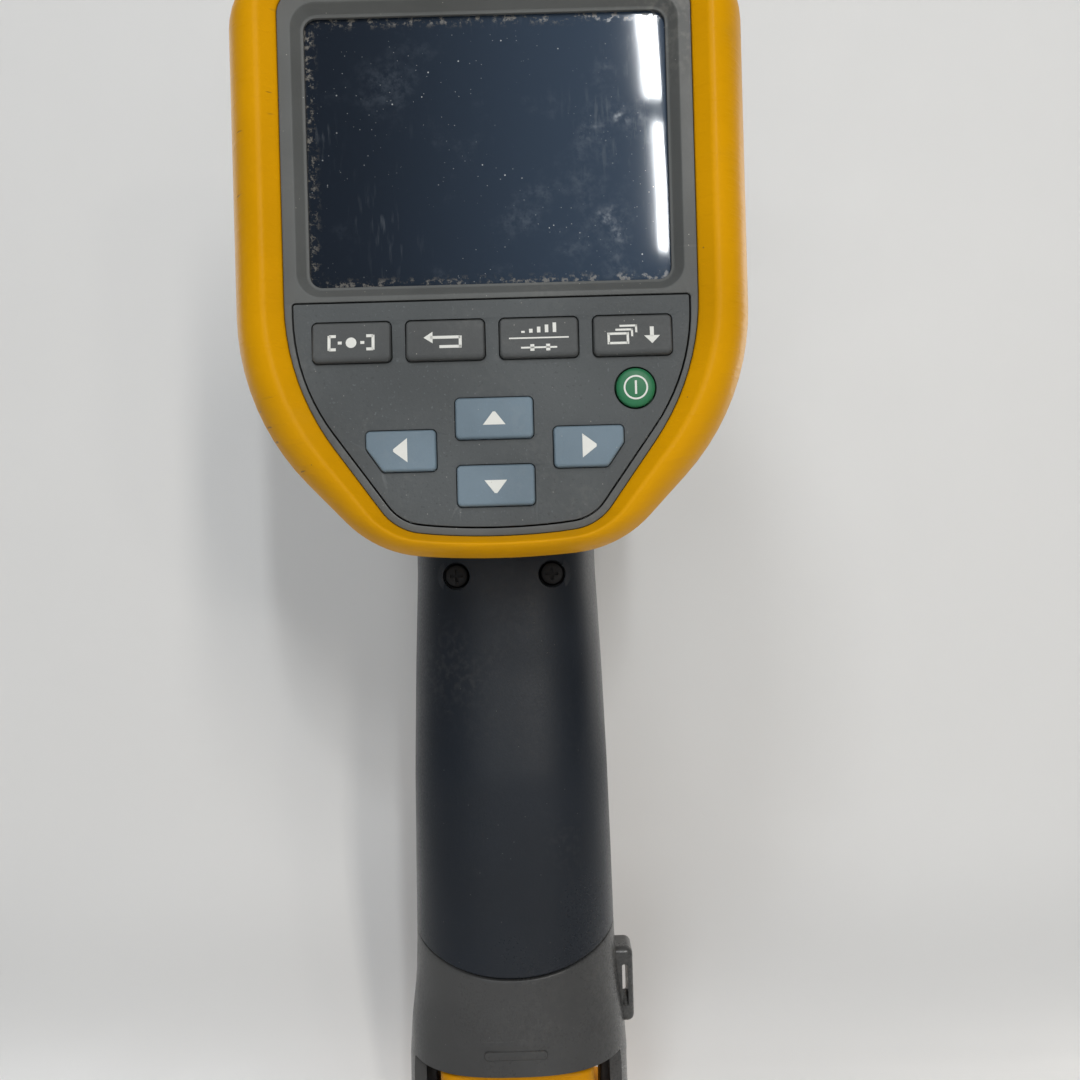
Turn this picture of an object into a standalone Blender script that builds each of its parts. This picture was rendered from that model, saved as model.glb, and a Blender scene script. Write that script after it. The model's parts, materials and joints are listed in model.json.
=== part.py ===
"""Pistol-grip thermal imaging camera, as the separate pieces it comes apart into on a bench.

Frame: +Z up. The camera stands upright on the flat underside of its battery pack, the display
faces -Y and the lens looks along +Y. The origin is the centre of the pack's underside.
Sizes are in millimetres, and MM turns them into metres where a mesh is made.
"""

import math

import bmesh
import bpy
from mathutils import Matrix, Vector

MM = 0.001
GAP = 0.3                    # clearance between pieces that touch

# Driving dimensions
HEAD_HEIGHT = 124.0
HEAD_HALF_WIDTH = 52.7
HEAD_BOTTOM = 143.0          # height over the table from which heights marked _H are measured
BACK_Y = -54.0               # rearmost plane, the ridge of the bumper
LENGTH = 145.0               # from the bumper's ridge to the front ring
PANEL_Y = BACK_Y + 2.8       # rear face of the rear housing and the keypad panel
BUMPER_FRONT_Y = -26.0
NOSE_FACE_Y = 62.0           # flat front face of the housing
FRONT_Y = BACK_Y + LENGTH
WALL = 2.6

LENS_Z = HEAD_BOTTOM + 70.0
CAMERA_Z = HEAD_BOTTOM + 99.0
LASER_X = 12.0
BARREL_RADIUS = 20.5
FOCUS_RADIUS = 24.5
FRONT_RING_RADIUS = 22.0
CAP_RADIUS = 21.0
CAP_THICKNESS = 2.5
CAP_HINGE = (FRONT_Y - 2.0, LENS_Z - 24.6)       # y, z of the lens cap's hinge

BUTTON_TRAVEL = 1.0
FUNCTION_SIZE = (15.4, 7.8)
FUNCTION_PITCH = 18.65
FUNCTION_H = 45.1
ARROW_SIZE = (15.2, 7.9)
SIDE_ARROW_SIZE = (13.7, 7.9)
ARROW_H = {"up": 29.3, "down": 15.9, "side": 23.2}
SIDE_ARROW_X = 18.7
POWER_AT = (28.3, 34.6)
POWER_RADIUS = 3.9
GROOVE_H = 53.3              # groove between the keypad panel and the display
RIM = 1.6                    # grey rim of the rear housing round the keypad panel
RIDGE_SHARE = 0.73           # where the ridge lies on the way from the bumper's outer to inner edge
BUMPER_ROUNDING = 12.0       # depth over which the bumper's outside rounds to its ridge
DISPLAY_H = 83.8             # height of the display's centre
DISPLAY_SIZE = (72.8, 54.3)

HANDLE_TOP = 149.5
HANDLE_WALL = 2.4
PARTING_Y = 1.0              # the handle's rear cover meets its front shell here
SEAM_Z = 49.8                # lowest point of the rear cover's curved lower edge
SEAM_RISE = 6.5
SHELL_BOTTOM = SEAM_Z + SEAM_RISE
COLLAR_BOTTOM = 28.5
LEG_BOTTOM = 10.0
SCREW_X, SCREW_Z = 11.0, 140.0
TRIGGER_PIVOT = (16.0, 140.5)                    # y, z
LATCH_X = 21.0
LATCH_PIVOT_Z = 8.0

# Handle sections: height, centre y, half width, half depth
HANDLE_SECTIONS = [
    (160.0, 3.0, 21.7, 23.3),
    (140.0, 3.0, 21.8, 23.4),
    (118.0, 2.0, 22.7, 23.4),
    (94.0, 0.0, 23.3, 24.4),
    (70.0, 0.0, 23.7, 24.8),
    (54.0, 0.0, 23.9, 25.0),
    (44.0, 0.0, 24.3, 25.4),
    (34.0, 0.0, 25.6, 26.2),
    (26.0, 0.0, 26.2, 26.6),
    (LEG_BOTTOM, 0.0, 26.3, 26.6),
]

YELLOW = ("bumper_yellow", (0.62, 0.30, 0.01), 0.5, 0.0)
PANEL_GREY = ("panel_grey", (0.10, 0.115, 0.115), 0.6, 0.0)
FRAME_GREY = ("surround_grey", (0.11, 0.115, 0.115), 0.5, 0.0)
HOUSING_GREY = ("housing_grey", (0.075, 0.08, 0.085), 0.6, 0.0)
GRIP_BLACK = ("grip_black", (0.022, 0.026, 0.032), 0.45, 0.0)
KEY_GREY = ("key_grey", (0.045, 0.05, 0.055), 0.5, 0.0)
KEY_BLUE = ("key_blue", (0.15, 0.21, 0.27), 0.5, 0.0)
KEY_GREEN = ("key_green", (0.03, 0.17, 0.07), 0.5, 0.0)
GLASS = ("window_glass", (0.01, 0.012, 0.018), 0.08, 0.0)
GERMANIUM = ("germanium", (0.20, 0.17, 0.20), 0.12, 0.9)
BOARD_GREEN = ("board_green", (0.02, 0.12, 0.05), 0.5, 0.0)
SILICONE = ("silicone_grey", (0.18, 0.19, 0.20), 0.7, 0.0)
STEEL = ("steel", (0.45, 0.45, 0.46), 0.35, 1.0)
ALUMINIUM = ("aluminium", (0.5, 0.51, 0.52), 0.4, 1.0)
CELL_WRAP = ("cell_wrap", (0.05, 0.16, 0.33), 0.4, 0.0)
BRASS = ("brass", (0.6, 0.42, 0.16), 0.3, 1.0)


# ---------------------------------------------------------------- scene and materials

def clear_scene():
    for item in list(bpy.data.objects):
        bpy.data.objects.remove(item, do_unlink=True)


def collection(name):
    group = bpy.data.collections.new(name)
    bpy.context.scene.collection.children.link(group)
    return group


def material(spec):
    name, colour, roughness, metallic = spec
    made = bpy.data.materials.get(name)
    if made is None:
        made = bpy.data.materials.new(name)
        made.use_nodes = True
        shader = made.node_tree.nodes["Principled BSDF"]
        shader.inputs["Base Color"].default_value = (*colour, 1.0)
        shader.inputs["Roughness"].default_value = roughness
        shader.inputs["Metallic"].default_value = metallic
    return made


def place(item, spec):
    """File an object as a piece with its material, or as a cutter when it has none."""
    for group in list(item.users_collection):
        group.objects.unlink(item)
    if spec is None:
        CUTTERS.objects.link(item)
        item.hide_render = True
        item.display_type = "WIRE"
        return item
    PIECES.objects.link(item)
    item.data.materials.clear()
    item.data.materials.append(material(spec))
    item.data.shade_smooth()
    item.data.set_sharp_from_angle(angle=math.radians(35))
    return item


def object_from(name, bm, spec):
    bmesh.ops.recalc_face_normals(bm, faces=bm.faces)
    mesh = bpy.data.meshes.new(name)
    bm.to_mesh(mesh)
    bm.free()
    return place(bpy.data.objects.new(name, mesh), spec)


# ---------------------------------------------------------------- outlines

def rounded(corners, steps=5):
    """Points of a closed outline whose corners (a, b, radius) are rounded by arcs."""
    points = []
    for i, (a, b, radius) in enumerate(corners):
        here = Vector((a, b))
        if radius == 0:
            points.append(here)
            continue
        back = (Vector(corners[i - 1][:2]) - here).normalized()
        ahead = (Vector(corners[(i + 1) % len(corners)][:2]) - here).normalized()
        half = back.angle(ahead) / 2
        centre = here + (back + ahead).normalized() * radius / math.sin(half)
        start = here + back * radius / math.tan(half) - centre
        end = here + ahead * radius / math.tan(half) - centre
        first = math.atan2(start.y, start.x)
        sweep = (math.atan2(end.y, end.x) - first + math.pi) % (2 * math.pi) - math.pi
        for step in range(steps + 1):
            angle = first + sweep * step / steps
            points.append(centre + Vector((math.cos(angle), math.sin(angle))) * radius)
    return points


def inset(corners, distance):
    """Move every edge of a counter-clockwise outline inwards by a distance."""
    moved = []
    for i, (a, b, radius) in enumerate(corners):
        here = Vector((a, b))
        back = (here - Vector(corners[i - 1][:2])).normalized()
        ahead = (Vector(corners[(i + 1) % len(corners)][:2]) - here).normalized()
        left_back, left_ahead = Vector((-back.y, back.x)), Vector((-ahead.y, ahead.x))
        shift = (left_back + left_ahead) * distance / (1 + left_back.dot(left_ahead))
        new_radius = max(radius - distance, 0.2) if radius else 0
        moved.append((a + shift.x, b + shift.y, new_radius))
    return moved


def blend(first, second, share):
    return [tuple(p + (q - p) * share for p, q in zip(u, v)) for u, v in zip(first, second)]


def rectangle(width, height, radius, centre=(0, 0)):
    a, b = centre
    w, h = width / 2, height / 2
    return [(a + w, b - h, radius), (a + w, b + h, radius), (a - w, b + h, radius), (a - w, b - h, radius)]


def circle(radius, centre=(0, 0), sides=16):
    turns = (2 * math.pi * i / sides for i in range(sides))
    return [Vector((centre[0] + radius * math.cos(t), centre[1] + radius * math.sin(t))) for t in turns]


def head_corners(side, knee, foot, bottom, top, radii):
    """Corners of the head's outline: x and height over HEAD_BOTTOM.

    side is the half width, knee the height where the side turns inwards, foot the corner (x, height)
    at the bottom, whose edge bows down to bottom at the centre; radii are of knee, foot and top.
    """
    knee_radius, foot_radius, top_radius = radii
    foot_x, foot_h = foot
    right = [
        (foot_x / 2, bottom + (foot_h - bottom) / 4, 0),
        (foot_x, foot_h, foot_radius),
        (side, knee, knee_radius),
        (side, top, top_radius),
    ]
    left = [(-a, b, radius) for a, b, radius in reversed(right)]
    corners = [(0, bottom, 0)] + right + left
    return [(a, b + HEAD_BOTTOM, radius) for a, b, radius in corners]


OUTER = head_corners(HEAD_HALF_WIDTH, 31.8, (25.4, 3.1), 1.3, HEAD_HEIGHT, (50, 24, 14))
INNER = head_corners(41.4, 37.0, (20.2, 7.3), 5.8, HEAD_HEIGHT - 8.0, (50, 11, 5))
MIDDLE = head_corners(46.5, 33.0, (24.0, 3.4), 2.0, HEAD_HEIGHT - 4.0, (42, 18, 16))
NOSE = head_corners(33.0, 33.0, (17.0, 12.0), 11.0, HEAD_HEIGHT - 13.0, (24, 9, 18))
KEYPAD = head_corners(41.4, 37.0, (20.2, 7.3), 5.8, GROOVE_H + RIM, (42, 11, 2.4))


def superellipse(z, centre_y, half_x, half_y, power=2.6, count=36):
    ring = []
    for i in range(count):
        turn = 2 * math.pi * i / count
        c, s = math.cos(turn), math.sin(turn)
        ring.append((
            math.copysign(half_x * abs(c) ** (2 / power), c),
            centre_y + math.copysign(half_y * abs(s) ** (2 / power), s),
            z,
        ))
    return ring


# ---------------------------------------------------------------- modelling tools

def loft(name, rings, spec, closed=False):
    """Skin rings of points; closed joins the last ring to the first, otherwise both ends are capped."""
    bm = bmesh.new()
    rows = [[bm.verts.new(Vector(point) * MM) for point in ring] for ring in rings]
    pairs = list(zip(rows, rows[1:]))
    if closed:
        pairs.append((rows[-1], rows[0]))
    else:
        bm.faces.new(rows[0])
        bm.faces.new(rows[-1])
    for low, high in pairs:
        for i in range(len(low)):
            j = (i + 1) % len(low)
            bm.faces.new((low[i], low[j], high[j], high[i]))
    return object_from(name, bm, spec)


def upright(corners, y, steps=5):
    """A ring in an X-Z plane at y."""
    return [(p.x, y, p.y) for p in rounded(corners, steps)]


def plate(name, outlines, low, high, spec, facing="y"):
    """A flat outline with holes, given thickness from low to high along Y, Z or X."""
    curve = bpy.data.curves.new(name, "CURVE")
    curve.dimensions = "2D"
    curve.fill_mode = "BOTH"
    curve.extrude = (high - low) / 2 * MM
    for outline in outlines:
        spline = curve.splines.new("POLY")
        spline.points.add(len(outline) - 1)
        for point, place_at in zip(spline.points, outline):
            point.co = (place_at[0] * MM, place_at[1] * MM, 0.0, 1.0)
        spline.use_cyclic_u = True
    flat = bpy.data.objects.new(name + "_outline", curve)
    bpy.context.scene.collection.objects.link(flat)
    middle = (low + high) / 2 * MM
    turn, shift = {
        "y": (Matrix.Rotation(math.radians(90), 4, "X"), (0, middle, 0)),
        "z": (Matrix.Identity(4), (0, 0, middle)),
        "x": (Matrix(((0, 0, 1, 0), (1, 0, 0, 0), (0, 1, 0, 0), (0, 0, 0, 1))), (middle, 0, 0)),
    }[facing]
    flat.matrix_world = Matrix.Translation(shift) @ turn
    return curve_to_mesh(name, flat, spec)


def curve_to_mesh(name, curve_object, spec):
    """Turn a curve object into a mesh object with welded caps, and remove the curve."""
    graph = bpy.context.evaluated_depsgraph_get()
    mesh = bpy.data.meshes.new_from_object(curve_object.evaluated_get(graph))
    bm = bmesh.new()
    bm.from_mesh(mesh)
    bmesh.ops.remove_doubles(bm, verts=bm.verts, dist=1e-6)
    made = object_from(name, bm, spec)
    made.matrix_world = curve_object.matrix_world.copy()
    bpy.data.objects.remove(curve_object, do_unlink=True)
    bpy.data.meshes.remove(mesh)
    return made


def box(name, x, y, z, spec, bevel=0.0):
    """A box between (low, high) pairs along each axis."""
    centre = Vector([sum(pair) / 2 for pair in (x, y, z)]) * MM
    bpy.ops.mesh.primitive_cube_add(size=1, location=centre)
    made = bpy.context.object
    made.name = name
    made.data.name = name
    made.scale = [(pair[1] - pair[0]) * MM for pair in (x, y, z)]
    bpy.ops.object.transform_apply(location=False, rotation=False, scale=True)
    if bevel:
        rounding = made.modifiers.new("rounded_edges", "BEVEL")
        rounding.width = bevel * MM
        rounding.segments = 2
    return place(made, spec)


def cylinder(name, radius, start, end, spec, sides=24):
    """A round bar between two points."""
    start, end = Vector(start), Vector(end)
    turn = (end - start).to_track_quat("Z", "Y").to_euler()
    bpy.ops.mesh.primitive_cylinder_add(
        vertices=sides, radius=radius * MM, depth=(end - start).length * MM,
        location=(start + end) / 2 * MM, rotation=turn,
    )
    made = bpy.context.object
    made.name = name
    made.data.name = name
    return place(made, spec)


def turned(name, profile, centre, spec, steps=48):
    """Turn a profile of (radius, y) points about a Y axis through centre (x, z)."""
    ring = profile[0][0] > 0 or profile[-1][0] > 0
    area = sum(p[0] * q[1] - q[0] * p[1] for p, q in zip(profile, profile[1:] + profile[:1]))
    ordered = profile if area < 0 else profile[::-1]
    bm = bmesh.new()
    verts = [bm.verts.new((radius * MM, 0, y * MM)) for radius, y in ordered]
    for a, b in zip(verts, verts[1:]):
        bm.edges.new((a, b))
    if ring:
        bm.edges.new((verts[-1], verts[0]))
    mesh = bpy.data.meshes.new(name)
    bm.to_mesh(mesh)
    bm.free()
    made = bpy.data.objects.new(name, mesh)
    made.location = (centre[0] * MM, 0, centre[1] * MM)
    made.rotation_euler = (math.radians(-90), 0, 0)
    spin = made.modifiers.new("turned", "SCREW")
    spin.steps = spin.render_steps = steps
    spin.use_merge_vertices = True
    spin.merge_threshold = 1e-6
    spin.use_smooth_shade = True
    return place(made, spec)


def combine(target, others, operation):
    for other in others:
        step = target.modifiers.new(operation.lower() + "_" + other.name, "BOOLEAN")
        step.operation = operation
        step.solver = "EXACT"
        step.object = other
    return target


def cut(target, *cutters):
    return combine(target, cutters, "DIFFERENCE")


def join(target, *others):
    return combine(target, others, "UNION")


def joint_empty(name, at, children):
    """An empty on a joint's axis that carries the pieces that move about it."""
    empty = bpy.data.objects.new(name, None)
    empty.location = Vector(at) * MM
    PIECES.objects.link(empty)
    bpy.context.view_layer.update()
    for child in children:
        child.parent = empty
        child.matrix_parent_inverse = empty.matrix_world.inverted()
    return empty


# ---------------------------------------------------------------- head

def bezel_bumper():
    """Yellow overmould: rounded outside, a ridge at the back and a facet down to the panel."""
    depth = PANEL_Y - BACK_Y
    outside = [(0.12, BUMPER_FRONT_Y), (0.07, BUMPER_FRONT_Y - 1.2)]
    for step in range(7):
        turn = math.pi / 2 * step / 6
        outside.append((RIDGE_SHARE * (1 - math.cos(turn)), BACK_Y + BUMPER_ROUNDING * (1 - math.sin(turn))))
    outside.append((1.0, BACK_Y + depth - 0.4))
    rings = [upright(blend(OUTER, INNER, share), y) for share, y in outside]
    lip_y = BACK_Y + 9.5
    rings.append(upright(INNER, lip_y))
    rings.append(upright(inset(OUTER, 3.5), lip_y))
    rings.append(upright(inset(OUTER, 3.5), BUMPER_FRONT_Y))
    return loft("bezel_bumper", rings, YELLOW, closed=True)


def front_housing():
    """Main grey shell from under the bumper to the nose face, open at the back."""
    rear_y = BACK_Y + 9.8
    shoulder_y = BUMPER_FRONT_Y + GAP
    outside = [
        (inset(OUTER, 3.8), rear_y),
        (inset(OUTER, 3.8), shoulder_y),
        (inset(OUTER, 2.0), shoulder_y),
        (inset(OUTER, 1.5), shoulder_y + 1.2),
        (MIDDLE, 28.0),
        (blend(MIDDLE, NOSE, 0.5), 46.0),
        (blend(MIDDLE, NOSE, 0.93), 58.5),
        (inset(NOSE, 0.9), 61.0),
        (inset(NOSE, 3.0), NOSE_FACE_Y),
    ]
    inside = [
        (inset(NOSE, 4.5), NOSE_FACE_Y - WALL),
        (inset(blend(MIDDLE, NOSE, 0.5), WALL), 45.0),
        (inset(MIDDLE, WALL), 27.0),
        (inset(OUTER, 6.2), shoulder_y + 6.0),
        (inset(OUTER, 6.2), rear_y - 5.0),
    ]
    shell = loft("front_housing", [upright(corners, y) for corners, y in outside], HOUSING_GREY)
    hollow = loft("housing_hollow", [upright(corners, y) for corners, y in inside], None)
    opening = cylinder("lens_opening", BARREL_RADIUS + 3.0, (0, 50, LENS_Z), (0, 70, LENS_Z), None, 48)
    neck = loft("neck_cutter", handle_rings(-GAP, 140.0, 158.0), None)
    window = cylinder("window_cutter", 4.3, (0, 55, CAMERA_Z), (0, 66, CAMERA_Z), None)
    laser = cylinder("laser_cutter", 2.5, (LASER_X, 55, CAMERA_Z), (LASER_X, 66, CAMERA_Z), None)
    cut(shell, hollow, opening, neck, window, laser, door_box("door_cutter", GAP, 6.0, None))


def rear_chassis():
    """Inner frame plate behind the display and keypad, which carries the boards."""
    outline = rounded(inset(OUTER, 6.6))
    window = rounded(rectangle(58, 34, 4, (0, HEAD_BOTTOM + 82)))
    holes = [circle(1.5, at, 12) for at in board_screw_places()]
    return plate("rear_chassis", [outline, window] + holes, -41.8, -39.8, ALUMINIUM)


def board_screw_places():
    return [(side * 34.0, HEAD_BOTTOM + h) for side in (-1, 1) for h in (52.0, 106.0)]


def main_board():
    outline = rounded(inset(OUTER, 9.5))
    holes = [circle(1.5, at, 12) for at in board_screw_places()]
    plate("main_board", [outline] + holes, -39.4, -37.8, BOARD_GREEN)
    for number, (x, z) in enumerate(board_screw_places(), 1):
        profile = [(0, -41.6), (1.2, -41.6), (1.2, -37.5), (2.4, -37.5), (2.4, -36.3), (0, -36.3)]
        turned(f"board_screw_{number}", profile, (x, z), STEEL, 16)


def rear_housing():
    """Grey rear frame: stepped walls down to the glass, and an opening for the keypad panel."""
    back, front = PANEL_Y, PANEL_Y + 6.2
    frame = plate("rear_housing", [rounded(inset(INNER, GAP))], back, front, FRAME_GREY)
    centre = (0, HEAD_BOTTOM + DISPLAY_H)
    opening = rectangle(*DISPLAY_SIZE, 2.6, centre)
    walls = [
        upright(inset(opening, -2.35), back - 1.0), upright(inset(opening, -2.2), back),
        upright(inset(opening, -0.5), back + 1.9), upright(opening, back + 2.1),
        upright(opening, front + 1.0),
    ]
    recess = loft("display_recess", walls, None)
    pocket = inset(opening, -1.2)
    seat = plate("display_pocket", [rounded(pocket)], back + 2.7, front + 1.0, None)
    keypad_opening = plate("keypad_opening", [rounded(inset(KEYPAD, RIM))], back - 1.0, front + 1.0, None)
    cut(frame, recess, seat, keypad_opening)
    plate("display_window", [rounded(inset(pocket, GAP))], back + 3.0, back + 4.6, GLASS)
    low, high = HEAD_BOTTOM + DISPLAY_H - 26.6, HEAD_BOTTOM + DISPLAY_H + 26.6
    box("lcd_module", (-35.9, 35.9), (back + 4.9, back + 9.0), (low, high), STEEL, bevel=0.5)


def key_outlines():
    """Every key's name, material and corners."""
    keys = []
    names = ("select", "back", "range", "memory")
    for i, name in enumerate(names):
        at = ((i - 1.5) * FUNCTION_PITCH, HEAD_BOTTOM + FUNCTION_H)
        keys.append((f"{name}_button", KEY_GREY, rectangle(*FUNCTION_SIZE, 1.0, at)))
    for name in ("up", "down"):
        at = (0, HEAD_BOTTOM + ARROW_H[name])
        keys.append((f"{name}_button", KEY_BLUE, rectangle(*ARROW_SIZE, 1.0, at)))
    width, height = SIDE_ARROW_SIZE
    z = HEAD_BOTTOM + ARROW_H["side"]
    w, h = width / 2, height / 2
    right = [(-w, -h, 0.9), (w - 3.2, -h, 0.9), (w, -h + 4.6, 0.9), (w, h, 0.9), (-w, h, 0.9)]
    keys.append(("right_button", KEY_BLUE, [(SIDE_ARROW_X + a, z + b, r) for a, b, r in right]))
    mirrored = [(-SIDE_ARROW_X - a, z + b, r) for a, b, r in reversed(right)]
    keys.append(("left_button", KEY_BLUE, mirrored))
    return keys


def keypad():
    panel_front = PANEL_Y + 3.0
    flange_y = panel_front + GAP
    holes = []
    for name, spec, corners in key_outlines():
        holes.append(rounded(inset(corners, -GAP), 3))
        proud = 1.5 if spec is KEY_GREY else 1.2
        levels = [
            (-0.9, flange_y + 1.0), (-0.9, flange_y), (0.0, flange_y), (0.0, PANEL_Y - proud + 0.6),
            (0.25, PANEL_Y - proud + 0.15), (0.8, PANEL_Y - proud),
        ]
        rings = [upright(inset(corners, depth), y, 3) for depth, y in levels]
        loft(name, rings, spec)
    centre = (POWER_AT[0], HEAD_BOTTOM + POWER_AT[1])
    radius = POWER_RADIUS
    profile = [
        (0, flange_y + 1.0), (radius + 0.8, flange_y + 1.0), (radius + 0.8, flange_y),
        (radius, flange_y), (radius, PANEL_Y - 0.5), (radius - 0.5, PANEL_Y - 1.0), (0, PANEL_Y - 1.1),
    ]
    turned("power_button", profile, centre, KEY_GREEN, 28)
    holes.append(circle(radius + GAP, centre, 28))
    plate("keypad_panel", [rounded(inset(KEYPAD, RIM + GAP))] + holes, PANEL_Y, panel_front, PANEL_GREY)
    mat_y = flange_y + 1.0 + BUTTON_TRAVEL + GAP
    plate("keypad_mat", [rounded(inset(KEYPAD, RIM + 1.0))], mat_y, mat_y + 1.6, SILICONE)
    plate("keypad_board", [rounded(inset(KEYPAD, RIM + 1.0))], mat_y + 1.9, mat_y + 3.3, BOARD_GREEN)


def lens_group():
    """Barrel, focus ring, front ring with its lugs, infrared lens, and what they feed."""
    axis = (0, LENS_Z)
    face = NOSE_FACE_Y
    barrel = [
        (15.2, 40), (19.2, 40), (19.2, face - 6), (25.0, face - 6), (25.0, face - WALL - GAP),
        (BARREL_RADIUS, face - WALL - GAP), (BARREL_RADIUS, FRONT_Y - 13.0), (15.2, FRONT_Y - 13.0),
    ]
    turned("lens_barrel", barrel, axis, ALUMINIUM)
    inner, outer = BARREL_RADIUS + GAP, FOCUS_RADIUS
    low, high = face + GAP, FRONT_Y - 13.0
    ring = [(inner, low), (outer - 0.8, low), (outer, low + 0.8), (outer, high - 0.8),
            (outer - 0.8, high), (inner, high)]
    focus = turned("focus_ring", ring, axis, GRIP_BLACK, 60)
    joint_empty("focus_axis", (0, low, LENS_Z), [focus])
    radius, back = FRONT_RING_RADIUS, FRONT_Y - 13.0 + GAP
    bezel = [(14.9, back), (radius, back), (radius, FRONT_Y - 2), (radius - 1.5, FRONT_Y),
             (17.8, FRONT_Y), (15.6, FRONT_Y - 5), (14.9, FRONT_Y - 6.5)]
    front = turned("front_ring", bezel, axis, HOUSING_GREY)
    hinge_y, hinge_z = CAP_HINGE
    for side in (-1, 1):
        low, high = sorted((side * 4.8, side * 7.4))
        outline = rounded([(hinge_y - 2, hinge_z - 2, 1.9), (hinge_y + 2, hinge_z - 2, 1.9),
                           (hinge_y + 1.2, hinge_z + 5.5, 0), (hinge_y - 3, hinge_z + 5.5, 0)])
        bore = circle(0.9, (hinge_y, hinge_z), 12)
        join(front, plate("front_ring_lug", [outline, bore], low, high, None, facing="x"))
    cylinder("cap_pin", 0.6, (-7.4, hinge_y, hinge_z), (7.4, hinge_y, hinge_z), STEEL, 12)
    lens = [(0, FRONT_Y - 15), (14.6, FRONT_Y - 15), (14.6, FRONT_Y - 11)]
    lens += [(14.6 * math.cos(t), FRONT_Y - 11 + 3.2 * math.sin(t))
             for t in (math.pi / 2 * i / 6 for i in range(1, 7))]
    lens[-1] = (0, lens[-1][1])
    turned("ir_lens", lens, axis, GERMANIUM, 32)
    seat = [(12.6, FRONT_Y - 18), (14.9, FRONT_Y - 18), (14.9, FRONT_Y - 15.3), (12.6, FRONT_Y - 15.3)]
    turned("lens_retainer", seat, axis, STEEL, 36)
    box("detector_module", (-13, 13), (24, 39.5), (LENS_Z - 13, LENS_Z + 13), ALUMINIUM, bevel=1.0)
    board = rounded(rectangle(50, 52, 2, axis))
    plate("detector_board", [board], 21.8, 23.6, BOARD_GREEN)
    box("visible_camera", (-3.4, 3.4), (50, 59.1), (CAMERA_Z - 3.4, CAMERA_Z + 3.4), KEY_GREY, bevel=0.5)
    cylinder("visible_window", 4.0, (0, face - 1.5, CAMERA_Z), (0, face - 0.2, CAMERA_Z), GLASS)
    cylinder("laser_pointer", 2.2, (LASER_X, 48, CAMERA_Z), (LASER_X, face - 0.5, CAMERA_Z), BRASS)


def lens_cap():
    """Flip-down cap, hanging open below the lens."""
    hinge_y, hinge_z = CAP_HINGE
    reach = LENS_Z - hinge_z
    near = 2 * hinge_y - (FRONT_Y + GAP)
    far = near - CAP_THICKNESS
    centre = (0, hinge_z - reach)
    profile = [(0, far), (CAP_RADIUS - 0.8, far), (CAP_RADIUS, far + 0.8), (CAP_RADIUS, near), (0, near)]
    cap = turned("lens_cap", profile, centre, HOUSING_GREY)
    arm = box("cap_arm", (-4.5, 4.5), (far, near), (hinge_z - 8.0, hinge_z - 1.2), None)
    link = box("cap_link", (-4.5, 4.5), (far, hinge_y), (hinge_z - 1.8, hinge_z + 0.9), None)
    eye = cylinder("cap_eye", 2.0, (-4.5, hinge_y, hinge_z), (4.5, hinge_y, hinge_z), None)
    bore = cylinder("cap_bore", 0.9, (-9, hinge_y, hinge_z), (9, hinge_y, hinge_z), None, 12)
    join(cap, arm, link, eye)
    cut(cap, bore)
    joint_empty("lens_cap_axis", (0, hinge_y, hinge_z), [cap])


# The port door lies in the left wall, which tapers slightly towards the front
WALL_SLANT = math.atan2(HEAD_HALF_WIDTH - 1.5 - 46.5, 28.0 - (BUMPER_FRONT_Y + GAP + 1.2))
DOOR_Y = (-15.0, 15.0)
DOOR_H = (50.0, 86.0)
DOOR_THICKNESS = 2.0


def wall_x(y):
    """X of the left wall's outer face at y."""
    return -(46.5 + (28.0 - y) * math.tan(WALL_SLANT))


def door_box(name, grow, deeper, spec):
    """The port door's box, flush with the slanted wall, grown for its opening."""
    length = DOOR_Y[1] - DOOR_Y[0] + 2 * grow
    low = -deeper if deeper else 0.0
    made = box(name, (low, DOOR_THICKNESS + deeper), (-length / 2, length / 2),
               (DOOR_H[0] - grow, DOOR_H[1] + grow), spec)
    y = sum(DOOR_Y) / 2
    made.rotation_euler = (0, 0, -WALL_SLANT)
    offset = Matrix.Rotation(-WALL_SLANT, 3, "Z") @ Vector(((low + DOOR_THICKNESS + deeper) / 2, 0, 0))
    made.location = (Vector((wall_x(y), y, HEAD_BOTTOM + sum(DOOR_H) / 2)) + offset) * MM
    return made


def port_door():
    door = door_box("port_door", 0.0, 0.0, HOUSING_GREY)
    joint_empty("door_axis", (wall_x(DOOR_Y[1]), DOOR_Y[1], HEAD_BOTTOM + DOOR_H[0]), [door])
    box("port_block", (-43.0, -30.0), (-12, 12), (HEAD_BOTTOM + 54, HEAD_BOTTOM + 82), STEEL, bevel=0.6)


# ---------------------------------------------------------------- handle

def handle_section(z):
    """Centre y, half width and half depth of the handle at a height."""
    for upper, lower in zip(HANDLE_SECTIONS, HANDLE_SECTIONS[1:]):
        if z >= lower[0]:
            share = min(1.0, (upper[0] - z) / (upper[0] - lower[0]))
            return [a + (b - a) * share for a, b in zip(upper[1:], lower[1:])]
    return list(HANDLE_SECTIONS[-1][1:])


def handle_rings(depth, low, high):
    """Rings of the handle's surface, inset by a depth, between two heights."""
    heights = [low] + sorted(s[0] for s in HANDLE_SECTIONS if low < s[0] < high) + [high]
    rings = []
    for z in heights:
        centre_y, half_x, half_y = handle_section(z)
        rings.append(superellipse(z, centre_y, half_x - depth, half_y - depth))
    return rings


def rear_region(name, grow):
    """Cutter over the handle's rear half, above the curved seam."""
    steps = 16
    span = 30.0
    outline = [(span, 170.0), (-span, 170.0)]
    for i in range(steps + 1):
        x = -span + 2 * span * i / steps
        outline.append((x, SEAM_Z - grow + SEAM_RISE * min(1.0, abs(x) / 23.9) ** 2))
    return plate(name, [outline], -45.0, PARTING_Y + grow, None)


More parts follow.
